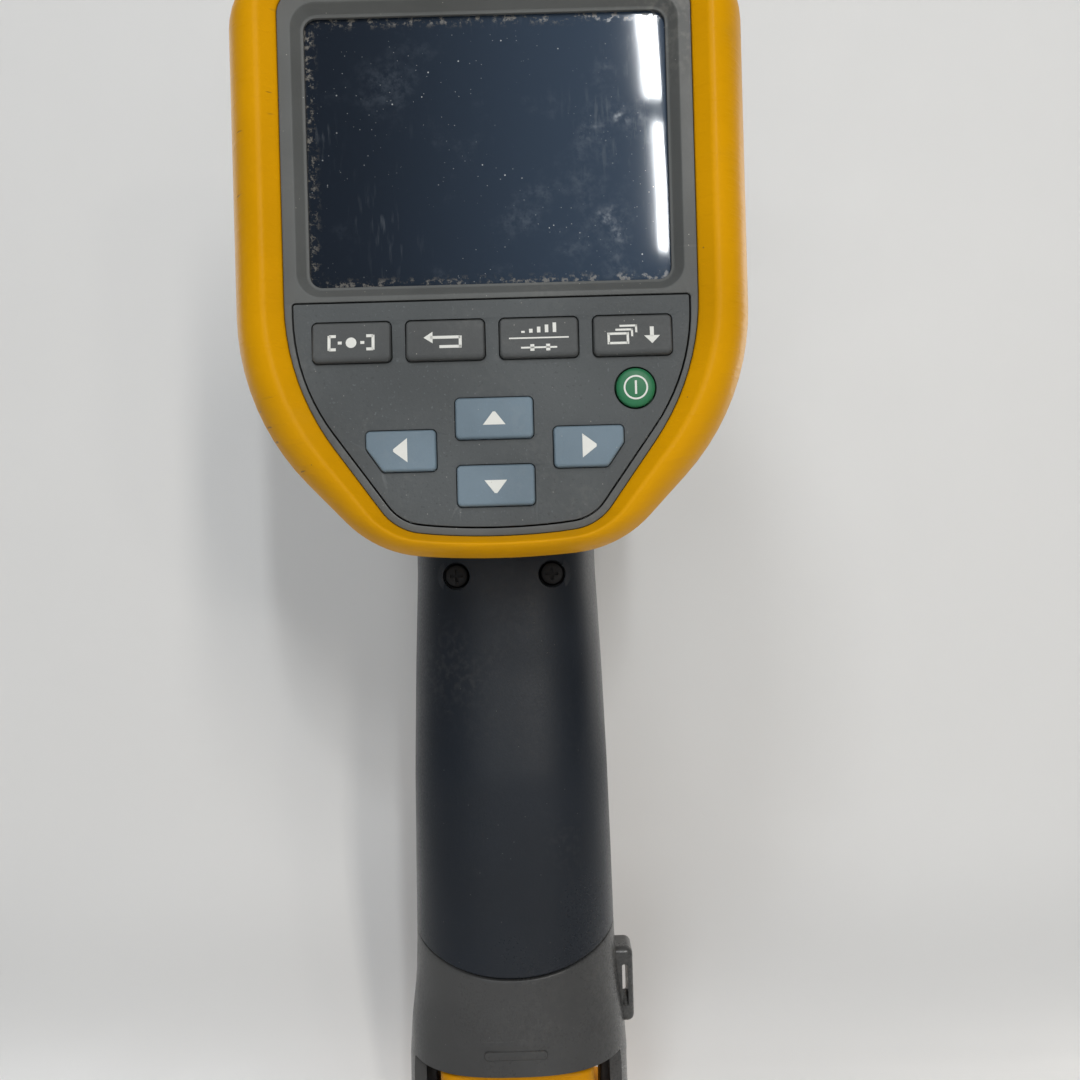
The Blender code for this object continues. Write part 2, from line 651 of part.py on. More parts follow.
def handle():
    hollow = loft("handle_hollow", handle_rings(HANDLE_WALL, LEG_BOTTOM - 5.0, 165.0), None)
    rear_keep = rear_region("rear_keep", 0.0)
    rear_clear = rear_region("rear_clear", GAP)

    cover = loft("handle_rear_cover", handle_rings(0.0, SEAM_Z - 5.0, HANDLE_TOP), GRIP_BLACK)
    combine(cover, [rear_keep], "INTERSECT")
    cut(cover, hollow)
    for side in (-1, 1):
        x = side * SCREW_X
        boss = cylinder("screw_boss", 4.4, (x, -17.4, SCREW_Z), (x, -10.5, SCREW_Z), None)
        recess = cylinder("counterbore", 3.15, (x, -40, SCREW_Z), (x, -15.2, SCREW_Z), None)
        hole = cylinder("screw_hole", 1.5, (x, -16, SCREW_Z), (x, -8, SCREW_Z), None, 12)
        join(cover, boss)
        cut(cover, recess, hole)
        profile = [(0, -17.4), (2.3, -17.4), (2.8, -16.9), (2.8, -15.5), (1.2, -15.5), (1.2, -3.0), (0, -3.0)]
        turned("handle_screw_" + ("left" if side < 0 else "right"), profile, (x, SCREW_Z), STEEL, 24)

    shell = loft("handle_front_shell", handle_rings(0.0, SHELL_BOTTOM, HANDLE_TOP), HOUSING_GREY)
    slot = box("trigger_slot", (-6.8, 6.8), (15, 40), (108.5, 143.0), None)
    cut(shell, hollow, rear_clear, slot)

    collar = loft("handle_collar", handle_rings(0.0, LEG_BOTTOM, SHELL_BOTTOM - GAP), HOUSING_GREY)
    cut(collar, hollow, rear_clear)
    for side in (-1, 1):
        reach = sorted((side * 14.0, side * 40.0))
        cut(collar, box("leg_trim", (-40, 40), reach, (0, COLLAR_BOTTOM), None))
        span = sorted((side * 20.0, side * 30.0))
        cut(collar, box("leg_window", span, (-7.5, 7.5), (13.0, 25.0), None))
    lug = box("strap_lug", (22.5, 28.2), (-5, 5), (30.5, 48.5), None, bevel=1.6)
    slit = box("strap_slit", (25.5, 26.9), (-10, 10), (34.5, 44.5), None)
    join(collar, lug)
    cut(collar, slit, hollow)

    bracket = box("grip_bracket", (-16, 16), (-10.2, 5.0), (134.0, 148.0), ALUMINIUM)
    for side in (-1, 1):
        x = side * SCREW_X
        cut(bracket, cylinder("bracket_hole", 1.5, (x, -12, SCREW_Z), (x, -1, SCREW_Z), None, 12))


def trigger():
    pivot_y, pivot_z = TRIGGER_PIVOT
    corners = [(13.0, 137.0, 2.0), (19.0, 131.0, 3.0), (19.5, 114.0, 2.0), (31.5, 110.8, 2.5),
               (34.2, 121.0, 6.0), (31.0, 136.0, 6.0), (22.0, 142.6, 1.5), (13.0, 143.0, 2.0)]
    body = plate("trigger", [rounded(corners, 4)], -6.2, 6.2, HOUSING_GREY, facing="x")
    bore = cylinder("trigger_bore", 1.4, (-9, pivot_y, pivot_z), (9, pivot_y, pivot_z), None, 16)
    cut(body, bore)
    joint_empty("trigger_axis", (0, pivot_y, pivot_z), [body])
    cylinder("trigger_pin", 1.1, (-13, pivot_y, pivot_z), (13, pivot_y, pivot_z), STEEL, 16)
    box("trigger_switch", (-4, 4), (6.0, 15.0), (114.0, 121.0), KEY_GREY, bevel=0.5)
    coil = bpy.data.curves.new("trigger_spring", "CURVE")
    coil.dimensions = "3D"
    coil.bevel_depth = 0.3 * MM
    coil.bevel_resolution = 2
    coil.use_fill_caps = True
    turns, per_turn, radius = 4, 10, 2.2
    count = turns * per_turn + 1
    spline = coil.splines.new("POLY")
    spline.points.add(count - 1)
    for i, point in enumerate(spline.points):
        angle = 2 * math.pi * i / per_turn
        along = 6.5 + 11.5 * i / (count - 1)
        point.co = (radius * math.cos(angle) * MM, along * MM, (126.5 + radius * math.sin(angle)) * MM, 1)
    wire = bpy.data.objects.new("trigger_spring_wire", coil)
    bpy.context.scene.collection.objects.link(wire)
    bpy.context.view_layer.update()
    curve_to_mesh("trigger_spring", wire, STEEL)


# ---------------------------------------------------------------- battery pack

def level(corners, z):
    """A ring in a horizontal plane."""
    return [(p.x, p.y, z) for p in rounded(corners)]


def battery():
    foot = rectangle(48.0, 46.0, 7.0)
    body = rectangle(35.0, 46.8, 4.0)
    foot_top = 7.0
    base = loft("battery_base", [
        level(inset(foot, 1.6), 0.0), level(inset(foot, 0.4), 1.0), level(foot, 2.4),
        level(foot, foot_top - 1.0), level(inset(foot, 0.8), foot_top),
        level(body, foot_top), level(body, 27.0), level(inset(body, 0.8), 27.8),
    ], YELLOW)
    well = box("battery_well", (-10.0, 10.0), (-19.6, 19.6), (3.0, 40.0), None)
    cut(base, well)

    outer, inner = rectangle(21.6, 40.4, 5.0), rectangle(19.0, 37.8, 4.0)
    sleeve = [level(outer, 28.1), level(outer, 87.0), level(inner, 87.0), level(inner, 28.1)]
    loft("battery_sleeve", sleeve, KEY_GREY, closed=True)
    plate("battery_top", [rounded(outer)], 87.3, 90.5, KEY_GREY, facing="z")
    plate("battery_board", [rounded(rectangle(19.0, 38.0, 2.0))], 5.0, 6.6, BOARD_GREEN, facing="z")
    for name, y in (("cell_rear", -9.4), ("cell_front", 9.4)):
        cylinder(name, 9.1, (0, y, 16.0), (0, y, 81.0), CELL_WRAP, 32)
    box("terminal_block", (-9, 9), (-16, 16), (93.0, 99.0), KEY_GREY, bevel=0.8)
    for side, name in ((-1, "latch_left"), (1, "latch_right")):
        span = sorted((side * (LATCH_X - 1.6), side * (LATCH_X + 1.6)))
        latch = box(name, span, (-6.8, 6.8), (foot_top + GAP, 31.0), KEY_GREY, bevel=0.7)
        joint_empty(name + "_axis", (side * LATCH_X, 0, LATCH_PIVOT_Z), [latch])


clear_scene()
PIECES = collection("thermal_imaging_camera")
CUTTERS = collection("cutters")
bezel_bumper()
front_housing()
rear_chassis()
main_board()
rear_housing()
keypad()
lens_group()
lens_cap()
port_door()
handle()
trigger()
battery()
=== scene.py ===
"""Looks of the thermal imaging camera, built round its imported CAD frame.

Sizes are in millimetres in the CAD part's frame, and MM turns them into metres.
"""

import json
import math

import bmesh
import bpy
from mathutils import Matrix, Vector


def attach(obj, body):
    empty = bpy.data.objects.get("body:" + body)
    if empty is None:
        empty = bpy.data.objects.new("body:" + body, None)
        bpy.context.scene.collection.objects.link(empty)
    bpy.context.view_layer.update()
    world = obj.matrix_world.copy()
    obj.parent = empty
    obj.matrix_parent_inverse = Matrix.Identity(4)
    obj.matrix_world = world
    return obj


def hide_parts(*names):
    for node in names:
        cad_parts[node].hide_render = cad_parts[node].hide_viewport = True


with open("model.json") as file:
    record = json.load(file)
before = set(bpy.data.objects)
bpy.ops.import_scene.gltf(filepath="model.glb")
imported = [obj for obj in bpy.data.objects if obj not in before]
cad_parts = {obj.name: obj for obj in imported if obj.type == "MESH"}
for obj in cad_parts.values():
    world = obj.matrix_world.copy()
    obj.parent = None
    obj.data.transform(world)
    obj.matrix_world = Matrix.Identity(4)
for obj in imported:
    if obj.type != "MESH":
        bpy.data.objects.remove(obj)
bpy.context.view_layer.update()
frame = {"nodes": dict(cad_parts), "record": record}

MM = 0.001
GAP = 0.3

# Dimensions of the CAD part
HEAD_HEIGHT = 124.0
HEAD_HALF_WIDTH = 52.7
HEAD_BOTTOM = 143.0
BACK_Y = -54.0
FRONT_Y = 91.0
PANEL_Y = -51.2
BUMPER_FRONT_Y = -26.0
NOSE_FACE_Y = 62.0
LENS_Z = HEAD_BOTTOM + 70.0
CAMERA_Z = HEAD_BOTTOM + 99.0
LASER_X = 12.0
FOCUS_RADIUS = 24.5
FOCUS_Y = (62.3, 78.0)
FRONT_RING_RADIUS = 22.0
FRONT_RING_BACK = 78.3
CAP_RADIUS = 21.0
CAP_THICKNESS = 2.5
CAP_HINGE = (89.0, LENS_Z - 24.6)
FUNCTION_SIZE = (15.4, 7.8)
FUNCTION_PITCH = 18.65
FUNCTION_H = 45.1
ARROW_SIZE = (15.2, 7.9)
SIDE_ARROW_SIZE = (13.7, 7.9)
ARROW_H = {"up": 29.3, "down": 15.9, "side": 23.2}
SIDE_ARROW_X = 18.7
POWER_AT = (28.3, HEAD_BOTTOM + 34.6)
POWER_RADIUS = 3.9
KEYPAD_TOP = 54.9
RIM = 1.6
BUMPER_ROUNDING = 12.0
RIDGE_SHARE = 0.73
DISPLAY_AT = (0.0, HEAD_BOTTOM + 83.8)
DISPLAY_SIZE = (72.8, 54.3)
HANDLE_TOP = 149.5
HANDLE_WALL = 2.4
PARTING_Y = 1.0
SEAM_Z = 49.8
SEAM_RISE = 6.5
SHELL_BOTTOM = SEAM_Z + SEAM_RISE
COLLAR_BOTTOM = 28.5
LEG_BOTTOM = 10.0
SCREW_X, SCREW_Z = 11.0, 140.0
TRIGGER_PIVOT = (16.0, 140.5)
LATCH_X = 21.0
DOOR_Y = (-15.0, 15.0)
DOOR_H = (50.0, 86.0)
DOOR_THICKNESS = 2.0
HANDLE_SECTIONS = [
    (160.0, 3.0, 21.7, 23.3), (140.0, 3.0, 21.8, 23.4), (118.0, 2.0, 22.7, 23.4), (94.0, 0.0, 23.3, 24.4),
    (70.0, 0.0, 23.7, 24.8), (54.0, 0.0, 23.9, 25.0), (44.0, 0.0, 24.3, 25.4), (34.0, 0.0, 25.6, 26.2),
    (26.0, 0.0, 26.2, 26.6), (LEG_BOTTOM, 0.0, 26.3, 26.6),
]
SQUARENESS = 2.6
RING_PITCH = 4.0
HANDLE_SIDES = 112
KEYPAD_THICKNESS = 3.0
KEY_FLANGE_Y = PANEL_Y + KEYPAD_THICKNESS + GAP


# ---------------------------------------------------------------- outlines

def rounded(corners, steps=10):
    """Points of a closed outline whose corners (a, b, radius) are rounded by arcs."""
    points = []
    for i, (a, b, radius) in enumerate(corners):
        here = Vector((a, b))
        if radius == 0:
            points.append(here)
            continue
        back = (Vector(corners[i - 1][:2]) - here).normalized()
        ahead = (Vector(corners[(i + 1) % len(corners)][:2]) - here).normalized()
        half = back.angle(ahead) / 2
        centre = here + (back + ahead).normalized() * radius / math.sin(half)
        start = here + back * radius / math.tan(half) - centre
        end = here + ahead * radius / math.tan(half) - centre
        first = math.atan2(start.y, start.x)
        sweep = (math.atan2(end.y, end.x) - first + math.pi) % (2 * math.pi) - math.pi
        for step in range(steps + 1):
            angle = first + sweep * step / steps
            points.append(centre + Vector((math.cos(angle), math.sin(angle))) * radius)
    return points


def inset(corners, distance):
    """Move every edge of a counter-clockwise outline inwards by a distance."""
    moved = []
    for i, (a, b, radius) in enumerate(corners):
        here = Vector((a, b))
        back = (here - Vector(corners[i - 1][:2])).normalized()
        ahead = (Vector(corners[(i + 1) % len(corners)][:2]) - here).normalized()
        left_back, left_ahead = Vector((-back.y, back.x)), Vector((-ahead.y, ahead.x))
        shift = (left_back + left_ahead) * distance / (1 + left_back.dot(left_ahead))
        moved.append((a + shift.x, b + shift.y, max(radius - distance, 0.2) if radius else 0))
    return moved


def blend(first, second, share):
    return [tuple(p + (q - p) * share for p, q in zip(u, v)) for u, v in zip(first, second)]


def rectangle(width, height, radius, centre=(0, 0)):
    a, b = centre
    w, h = width / 2, height / 2
    return [(a + w, b - h, radius), (a + w, b + h, radius), (a - w, b + h, radius), (a - w, b - h, radius)]


def circle(radius, centre=(0, 0), sides=48):
    turns = (2 * math.pi * i / sides for i in range(sides))
    return [Vector((centre[0] + radius * math.cos(t), centre[1] + radius * math.sin(t))) for t in turns]


def head_corners(side, knee, foot, bottom, top, radii):
    """Corners of the head's outline, as in the CAD part but with a smooth bow along the bottom."""
    knee_radius, foot_radius, top_radius = radii
    foot_x, foot_h = foot
    bow = [(foot_x * s, bottom + (foot_h - bottom) * s * s, 0) for s in (0.125, 0.25, 0.375, 0.5, 0.625)]
    right = bow + [(foot_x, foot_h, foot_radius), (side, knee, knee_radius), (side, top, top_radius)]
    left = [(-a, b, radius) for a, b, radius in reversed(right)]
    return [(a, b + HEAD_BOTTOM, radius) for a, b, radius in [(0, bottom, 0)] + right + left]


OUTER = head_corners(HEAD_HALF_WIDTH, 31.8, (25.4, 3.1), 1.3, HEAD_HEIGHT, (50, 24, 14))
INNER = head_corners(41.4, 37.0, (20.2, 7.3), 5.8, HEAD_HEIGHT - 8.0, (50, 11, 5))
MIDDLE = head_corners(46.5, 33.0, (24.0, 3.4), 2.0, HEAD_HEIGHT - 4.0, (42, 18, 16))
NOSE = head_corners(33.0, 33.0, (17.0, 12.0), 11.0, HEAD_HEIGHT - 13.0, (24, 9, 18))
KEYPAD = head_corners(41.4, 37.0, (20.2, 7.3), 5.8, KEYPAD_TOP, (42, 11, 2.4))


def upright(outline, y):
    """A flat outline stood up in the X-Z plane at y; corners with radii are rounded first."""
    points = rounded(outline) if len(outline[0]) == 3 else outline
    return [(p[0], y, p[1]) for p in points]


def walls(outline, steps):
    """Rings of a wall from (inset, y) steps."""
    return [upright(inset(outline, depth), y) for depth, y in steps]


def handle_section(z):
    for upper, lower in zip(HANDLE_SECTIONS, HANDLE_SECTIONS[1:]):
        if z >= lower[0]:
            share = min(1.0, (upper[0] - z) / (upper[0] - lower[0]))
            return [a + (b - a) * share for a, b in zip(upper[1:], lower[1:])]
    return list(HANDLE_SECTIONS[-1][1:])


def handle_point(turn, z, depth):
    """A point of the handle's surface, moved inwards by a depth."""
    centre_y, half_x, half_y = handle_section(z)
    c, s = math.cos(turn), math.sin(turn)
    return (math.copysign((half_x - depth) * abs(c) ** (2 / SQUARENESS), c),
            centre_y + math.copysign((half_y - depth) * abs(s) ** (2 / SQUARENESS), s), z)


def handle_rings(depth, low, high):
    count = max(2, round((high - low) / RING_PITCH) + 1)
    heights = (low + (high - low) * i / (count - 1) for i in range(count))
    turns = [2 * math.pi * i / HANDLE_SIDES for i in range(HANDLE_SIDES)]
    return [[handle_point(turn, z, depth) for turn in turns] for z in heights]


# ---------------------------------------------------------------- meshes

def skin(bm, rings, closed=False, caps=True):
    """Faces between successive rings of points."""
    rows = [[bm.verts.new(point) for point in ring] for ring in rings]
    pairs = list(zip(rows, rows[1:]))
    if closed:
        pairs.append((rows[-1], rows[0]))
    elif caps:
        bm.faces.new(rows[0])
        bm.faces.new(rows[-1])
    for low, high in pairs:
        for i in range(len(low)):
            j = (i + 1) % len(low)
            bm.faces.new((low[i], low[j], high[j], high[i]))
    return rows


def holed(bm, stacks):
    """A body with holes: each stack of rings is one wall, and their first and last rings bound flat caps."""
    ends = ([], [])
    for rings in stacks:
        rows = skin(bm, rings, caps=False)
        for edges, row in zip(ends, (rows[0], rows[-1])):
            edges += [bm.edges.get((row[i - 1], row[i])) for i in range(len(row))]
    for edges in ends:
        bmesh.ops.triangle_fill(bm, edges=edges, use_beauty=True)


def bevelled(corners, low, high, bevel, hole=False, facing="y"):
    """Rings of a plate's wall between two levels, with both edges rounded."""
    sign = -1 if hole else 1
    levels = [(bevel, low), (bevel * 0.3, low + bevel * 0.3), (0, low + bevel),
              (0, high - bevel), (bevel * 0.3, high - bevel * 0.3), (bevel, high)]
    rings = []
    for depth, at in levels:
        if isinstance(corners, tuple):
            radius, centre = corners
            outline = circle(radius - sign * depth, centre)
        else:
            outline = rounded(inset(corners, sign * depth))
        if facing == "y":
            rings.append([(p[0], at, p[1]) for p in outline])
        elif facing == "z":
            rings.append([(p[0], p[1], at) for p in outline])
        else:
            rings.append([(at, p[0], p[1]) for p in outline])
    return rings


def plate(outline, low, high, bevel=0.4, holes=(), facing="y"):
    bm = bmesh.new()
    stacks = [bevelled(outline, low, high, bevel, facing=facing)]
    stacks += [bevelled(hole, low, high, bevel, hole=True, facing=facing) for hole in holes]
    holed(bm, stacks)
    return bm


def block(x, y, z, bevel=0.6, segments=3):
    """A box between (low, high) pairs along each axis, with rounded edges."""
    bm = bmesh.new()
    bmesh.ops.create_cube(bm, size=1)
    sizes = [pair[1] - pair[0] for pair in (x, y, z)]
    centre = Vector([sum(pair) / 2 for pair in (x, y, z)])
    bmesh.ops.transform(bm, matrix=Matrix.Translation(centre) @ Matrix.Diagonal((*sizes, 1)), verts=bm.verts)
    if bevel:
        bmesh.ops.bevel(bm, geom=bm.edges[:], offset=bevel, segments=segments, profile=0.5, affect="EDGES")
    return bm


def spun(profile, centre, steps=96, axis="y", wave=None):
    """A profile of (radius, along) points turned about an axis; wave(turn, radius, along) gives the radius."""
    bm = bmesh.new()
    rings = []
    for radius, along in profile:
        ring = []
        for i in range(steps):
            turn = 2 * math.pi * i / steps
            r = wave(turn, radius, along) if wave else radius
            a, b = r * math.cos(turn), r * math.sin(turn)
            if axis == "y":
                ring.append((centre[0] + a, along, centre[1] + b))
            else:
                ring.append((along, centre[0] + a, centre[1] + b))
        rings.append(ring)
    open_ends = profile[0][0] > 0.01 and profile[-1][0] > 0.01
    skin(bm, rings, closed=open_ends, caps=False)
    bmesh.ops.remove_doubles(bm, verts=bm.verts, dist=1e-4)
    return bm


def rod(radius, centre, start, end, sides=48, axis="y"):
    """A closed round bar along an axis."""
    return spun([(0.001, start), (radius, start), (radius, end), (0.001, end)], centre, sides, axis)


def on_side(side, near, far):
    """A low-to-high pair of places on the side of the middle given by -1 or 1."""
    return sorted((side * near, side * far))


def raw_object(bm, name="tool"):
    bmesh.ops.recalc_face_normals(bm, faces=bm.faces)
    mesh = bpy.data.meshes.new(name)
    bm.to_mesh(mesh)
    bm.free()
    made = bpy.data.objects.new(name, mesh)
    bpy.context.scene.collection.objects.link(made)
    return made


def carve(bm, *tools, operation="DIFFERENCE"):
    """Cut, join or intersect closed meshes with this one."""
    target = raw_object(bm)
    others = [raw_object(tool) for tool in tools]
    for other in others:
        step = target.modifiers.new("step", "BOOLEAN")
        step.operation = operation
        step.solver = "EXACT"
        step.object = other
    graph = bpy.context.evaluated_depsgraph_get()
    mesh = bpy.data.meshes.new_from_object(target.evaluated_get(graph))
    result = bmesh.new()
    result.from_mesh(mesh)
    for item in [target] + others:
        old = item.data
        bpy.data.objects.remove(item, do_unlink=True)
        bpy.data.meshes.remove(old)
    bpy.data.meshes.remove(mesh)
    return result


def piece(name, bm, look, body="root", node=None, angle=32.0, weighted=True):
    """Show a mesh made in millimetres as a piece riding on a body. Standing for a node, it hides that node."""
    bmesh.ops.remove_doubles(bm, verts=bm.verts, dist=1e-4)
    bmesh.ops.recalc_face_normals(bm, faces=bm.faces)
    bmesh.ops.scale(bm, vec=(MM, MM, MM), verts=bm.verts)
    made = raw_object(bm, name)
    made.data.materials.clear()
    made.data.materials.append(look)
    made.data.shade_smooth()
    made.data.set_sharp_from_angle(angle=math.radians(angle))
    if weighted:
        normals = made.modifiers.new("flat_faces_first", "WEIGHTED_NORMAL")
        normals.keep_sharp = True
        normals.weight = 70
    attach(made, body)
    if node:
        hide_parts(node)
    return made


# ---------------------------------------------------------------- looks

class Look:
    """A node material. Places in the texture are metres in the CAD frame."""

    def __init__(self, name):
        self.material = bpy.data.materials.new(name)
        self.material.use_nodes = True
        self.tree = self.material.node_tree
        self.shader = self.tree.nodes["Principled BSDF"]
        self.place = self.node("ShaderNodeTexCoord").outputs["Object"]

    def feed(self, socket, value):
        if isinstance(value, bpy.types.NodeSocket):
            self.tree.links.new(value, socket)
        else:
            socket.default_value = value

    def node(self, kind, inputs=None, **settings):
        made = self.tree.nodes.new(kind)
        for key, value in settings.items():
            setattr(made, key, value)
        for key, value in (inputs or {}).items():
            self.feed(made.inputs[key], value)
        return made

    def noise(self, scale, detail=3.0, roughness=0.5, stretch=None, turn=(0, 0, 0), offset=(0, 0, 0)):
        place = self.place
        if stretch or any(offset):
            mapping = self.node("ShaderNodeMapping", {
                "Vector": place, "Scale": stretch or (1, 1, 1), "Rotation": turn, "Location": offset})
            place = mapping.outputs["Vector"]
        return self.node("ShaderNodeTexNoise", {
            "Vector": place, "Scale": scale, "Detail": detail, "Roughness": roughness}).outputs["Fac"]

    def spots(self, scale, size, offset=(0, 0, 0)):
        """1 in small round spots scattered at random, 0 elsewhere."""
        mapping = self.node("ShaderNodeMapping", {"Vector": self.place, "Location": offset})
        cells = self.node("ShaderNodeTexVoronoi", {"Vector": mapping.outputs["Vector"], "Scale": scale})
        return self.band(cells.outputs["Distance"], size, size * 0.6)

    def band(self, value, low, high, to_low=0.0, to_high=1.0):
        """Map low..high to to_low..to_high, clamped; low may be the larger."""
        return self.node("ShaderNodeMapRange", {
            "Value": value, "From Min": low, "From Max": high, "To Min": to_low, "To Max": to_high},
            interpolation_type="SMOOTHSTEP").outputs["Result"]

    def math(self, operation, a, b=0.0):
        return self.node("ShaderNodeMath", {0: a, 1: b}, operation=operation).outputs[0]

    def times(self, *values):
        result = values[0]
        for value in values[1:]:
            result = self.math("MULTIPLY", result, value)
        return result

    def axis(self, which):
        return self.node("ShaderNodeSeparateXYZ", {0: self.place}).outputs[which]

    def mix(self, factor, a, b, mode="MIX"):
        made = self.node("ShaderNodeMix", data_type="RGBA", blend_type=mode)
        self.feed(made.inputs[0], factor)
        for socket, value in ((made.inputs[6], a), (made.inputs[7], b)):
            self.feed(socket, value if isinstance(value, bpy.types.NodeSocket) else (*value, 1.0))
        return made.outputs[2]

    def bump(self, height, depth, under=None):
        """Bump of a depth in metres, over an earlier bump."""
        inputs = {"Height": height, "Distance": depth, "Strength": 1.0}
        if under is not None:
            inputs["Normal"] = under
        return self.node("ShaderNodeBump", inputs).outputs["Normal"]

    def finish(self, colour, roughness, normal=None, metallic=0.0, **others):
        self.feed(self.shader.inputs["Base Color"], colour)
        self.feed(self.shader.inputs["Roughness"], roughness)
        self.feed(self.shader.inputs["Metallic"], metallic)
        for key, value in others.items():
            self.feed(self.shader.inputs[key.replace("_", " ")], value)
        if normal is not None:
            self.feed(self.shader.inputs["Normal"], normal)
        return self.material


def shade(colour, factor):
    return tuple(min(1.0, c * factor) for c in colour)


DUST = (0.50, 0.48, 0.43)


def moulded(name, colour, rough=0.5, grain=0.00003, grain_scale=1800.0, mottle=0.12, speckle=0.10,
            dust=0.10, scratches=0.35, shiny=0.12):
    """Moulded plastic or rubber: fine grain, uneven tone, rubbed patches, dust and hairline scratches."""
    look = Look(name)
    broad = look.noise(38.0, 4.0)
    tone = look.mix(look.band(broad, 0.3, 0.7), shade(colour, 1 - mottle), shade(colour, 1 + mottle))
    fine = look.noise(grain_scale, 2.0)
    tone = look.mix(look.band(fine, 0.62, 0.78, 0.0, speckle * 3), tone, shade(colour, 1.9))
    tone = look.mix(look.band(fine, 0.40, 0.25, 0.0, speckle * 2), tone, shade(colour, 0.5))
    dusty = look.times(look.band(look.noise(26.0, 5.0, offset=(0.3, 0.1, 0.2)), 0.48, 0.72),
                       look.band(look.noise(700.0, 4.0), 0.42, 0.70), dust)
    specks = look.times(look.spots(420.0, 0.055, (0.01, 0.02, 0.0)), min(1.0, dust * 4))
    tone = look.mix(look.math("MAXIMUM", dusty, specks), tone, DUST)
    lines = look.noise(60.0, 2.0, stretch=(1.0, 1.0, 26.0), turn=(0.4, 0.9, 0.3))
    crossed = look.noise(50.0, 2.0, stretch=(30.0, 1.0, 1.0), turn=(0.2, 0.5, 1.1))
    scratch = look.math("MAXIMUM", look.band(lines, 0.685, 0.72), look.band(crossed, 0.70, 0.735))
    worn = look.band(look.noise(24.0, 2.0, offset=(0.7, 0.2, 0.5)), 0.5, 0.62)
    scratch = look.times(scratch, worn, scratches)
    tone = look.mix(look.times(scratch, 0.5), tone, shade(colour, 2.2))
    rubbed = look.noise(22.0, 3.0, offset=(0.05, 0.4, 0.9))
    rubbed = look.band(rubbed, 0.42, 0.66, rough + shiny * 0.4, rough - shiny)
    roughness = look.math("ADD", rubbed, look.times(look.band(fine, 0.3, 0.7), 0.10))
    normal = look.bump(fine, grain)
    normal = look.bump(scratch, -0.00004, normal)
    return look.finish(tone, roughness, normal, Specular_IOR_Level=0.35)


def rubber_yellow(name, colour):
    """Yellow overmould: satin, with fine wrinkles, dark nicks and a little grime."""
    look = Look(name)
    tone = look.mix(look.band(look.noise(30.0, 4.0), 0.3, 0.7), shade(colour, 0.93), shade(colour, 1.06))
    grime = look.times(look.band(look.noise(45.0, 5.0, offset=(0.2, 0.3, 0.1)), 0.56, 0.80), 0.30)
    tone = look.mix(grime, tone, (0.30, 0.19, 0.03))
    nicks = look.band(look.noise(90.0, 2.0, stretch=(1.0, 1.0, 9.0), turn=(0.3, 0.7, 0.2)), 0.72, 0.75)
    scores = look.band(look.noise(70.0, 2.0, stretch=(12.0, 1.0, 1.0), turn=(0.6, 0.4, 0.9)), 0.73, 0.76)
    marks = look.times(look.math("MAXIMUM", nicks, scores),
                       look.band(look.noise(28.0, 2.0, offset=(0.9, 0.3, 0.6)), 0.50, 0.60))
    tone = look.mix(look.times(marks, 0.65), tone, (0.12, 0.075, 0.02))
    specks = look.spots(160.0, 0.035, (0.3, 0.0, 0.1))
    tone = look.mix(look.times(specks, 0.6), tone, (0.10, 0.07, 0.03))
    fine = look.noise(1500.0, 2.0)
    wrinkle = look.noise(140.0, 3.0, stretch=(1.0, 1.0, 5.0), turn=(0.2, 0.5, 0.0))
    roughness = look.band(look.noise(26.0, 4.0, offset=(0.5, 0.5, 0.1)), 0.35, 0.7, 0.36, 0.52)
    normal = look.bump(fine, 0.000012)
    normal = look.bump(look.band(wrinkle, 0.45, 0.75), 0.00006, normal)
    normal = look.bump(marks, -0.00008, normal)
    return look.finish(tone, roughness, normal, Specular_IOR_Level=0.08)


def display_glass(name):
    """Dark cover glass with grime along its edges, haze, smears and fine specks, and a painted reflection that
    makes it lighter and bluer towards the right.
    """
    look = Look(name)
    x, z = look.axis("X"), look.axis("Z")
    # Painted reflection: the glass's colour runs from near black at the left edge to a lighter blue at the
    # right.
    across = look.band(x, -0.036, 0.036)
    tone = look.mix(across, (0.010, 0.015, 0.024), (0.040, 0.060, 0.092))
    left = look.band(x, -0.0335, -0.0362)
    ends = look.band(look.math("ABSOLUTE", look.math("SUBTRACT", z, DISPLAY_AT[1] * MM)), 0.0245, 0.0268)
    edge = look.math("MAXIMUM", left, look.times(ends, 0.8))
    flakes = look.band(look.noise(800.0, 5.0, 0.7), 0.50, 0.62)
    grime = look.times(edge, flakes)
    # Cloudy haze is real smudging; its strength rising towards the right also paints reflection there, lighter
    # and bluer.
    cloud = look.times(look.band(look.noise(48.0, 6.0, 0.62, offset=(0.05, 0.3, 0.15)), 0.52, 0.74),
                       look.band(look.noise(520.0, 4.0, 0.7), 0.36, 0.66),
                       look.band(x, -0.022, 0.006, 0.35, 1.0))
    tone = look.mix(look.times(cloud, 0.55), tone, (0.14, 0.165, 0.20))
    smears = look.times(look.band(look.noise(160.0, 3.0, stretch=(6.0, 1.0, 1.0)), 0.56, 0.72),
                        look.band(look.noise(34.0, 3.0, offset=(0.5, 0.0, 0.2)), 0.48, 0.66))
    tone = look.mix(look.times(smears, 0.25), tone, (0.16, 0.18, 0.20))
    tone = look.mix(look.times(grime, 0.75), tone, (0.16, 0.145, 0.12))
    specks = look.math("MAXIMUM", look.spots(330.0, 0.06),
                       look.times(look.spots(800.0, 0.09, (0.1, 0, 0.2)), 0.6))
    specks = look.times(specks, look.band(look.noise(60.0, 3.0, offset=(0.1, 0.9, 0.4)), 0.42, 0.62))
    tone = look.mix(look.times(specks, 0.8), tone, (0.50, 0.53, 0.55))
    haze = look.math("MAXIMUM", look.times(cloud, 0.5), grime)
    roughness = look.math("ADD", look.band(haze, 0.0, 1.0, 0.05, 0.45), look.times(specks, 0.3))
    normal = look.bump(look.noise(90.0, 3.0), 0.000004)
    return look.finish(tone, roughness, normal, Specular_IOR_Level=0.4)


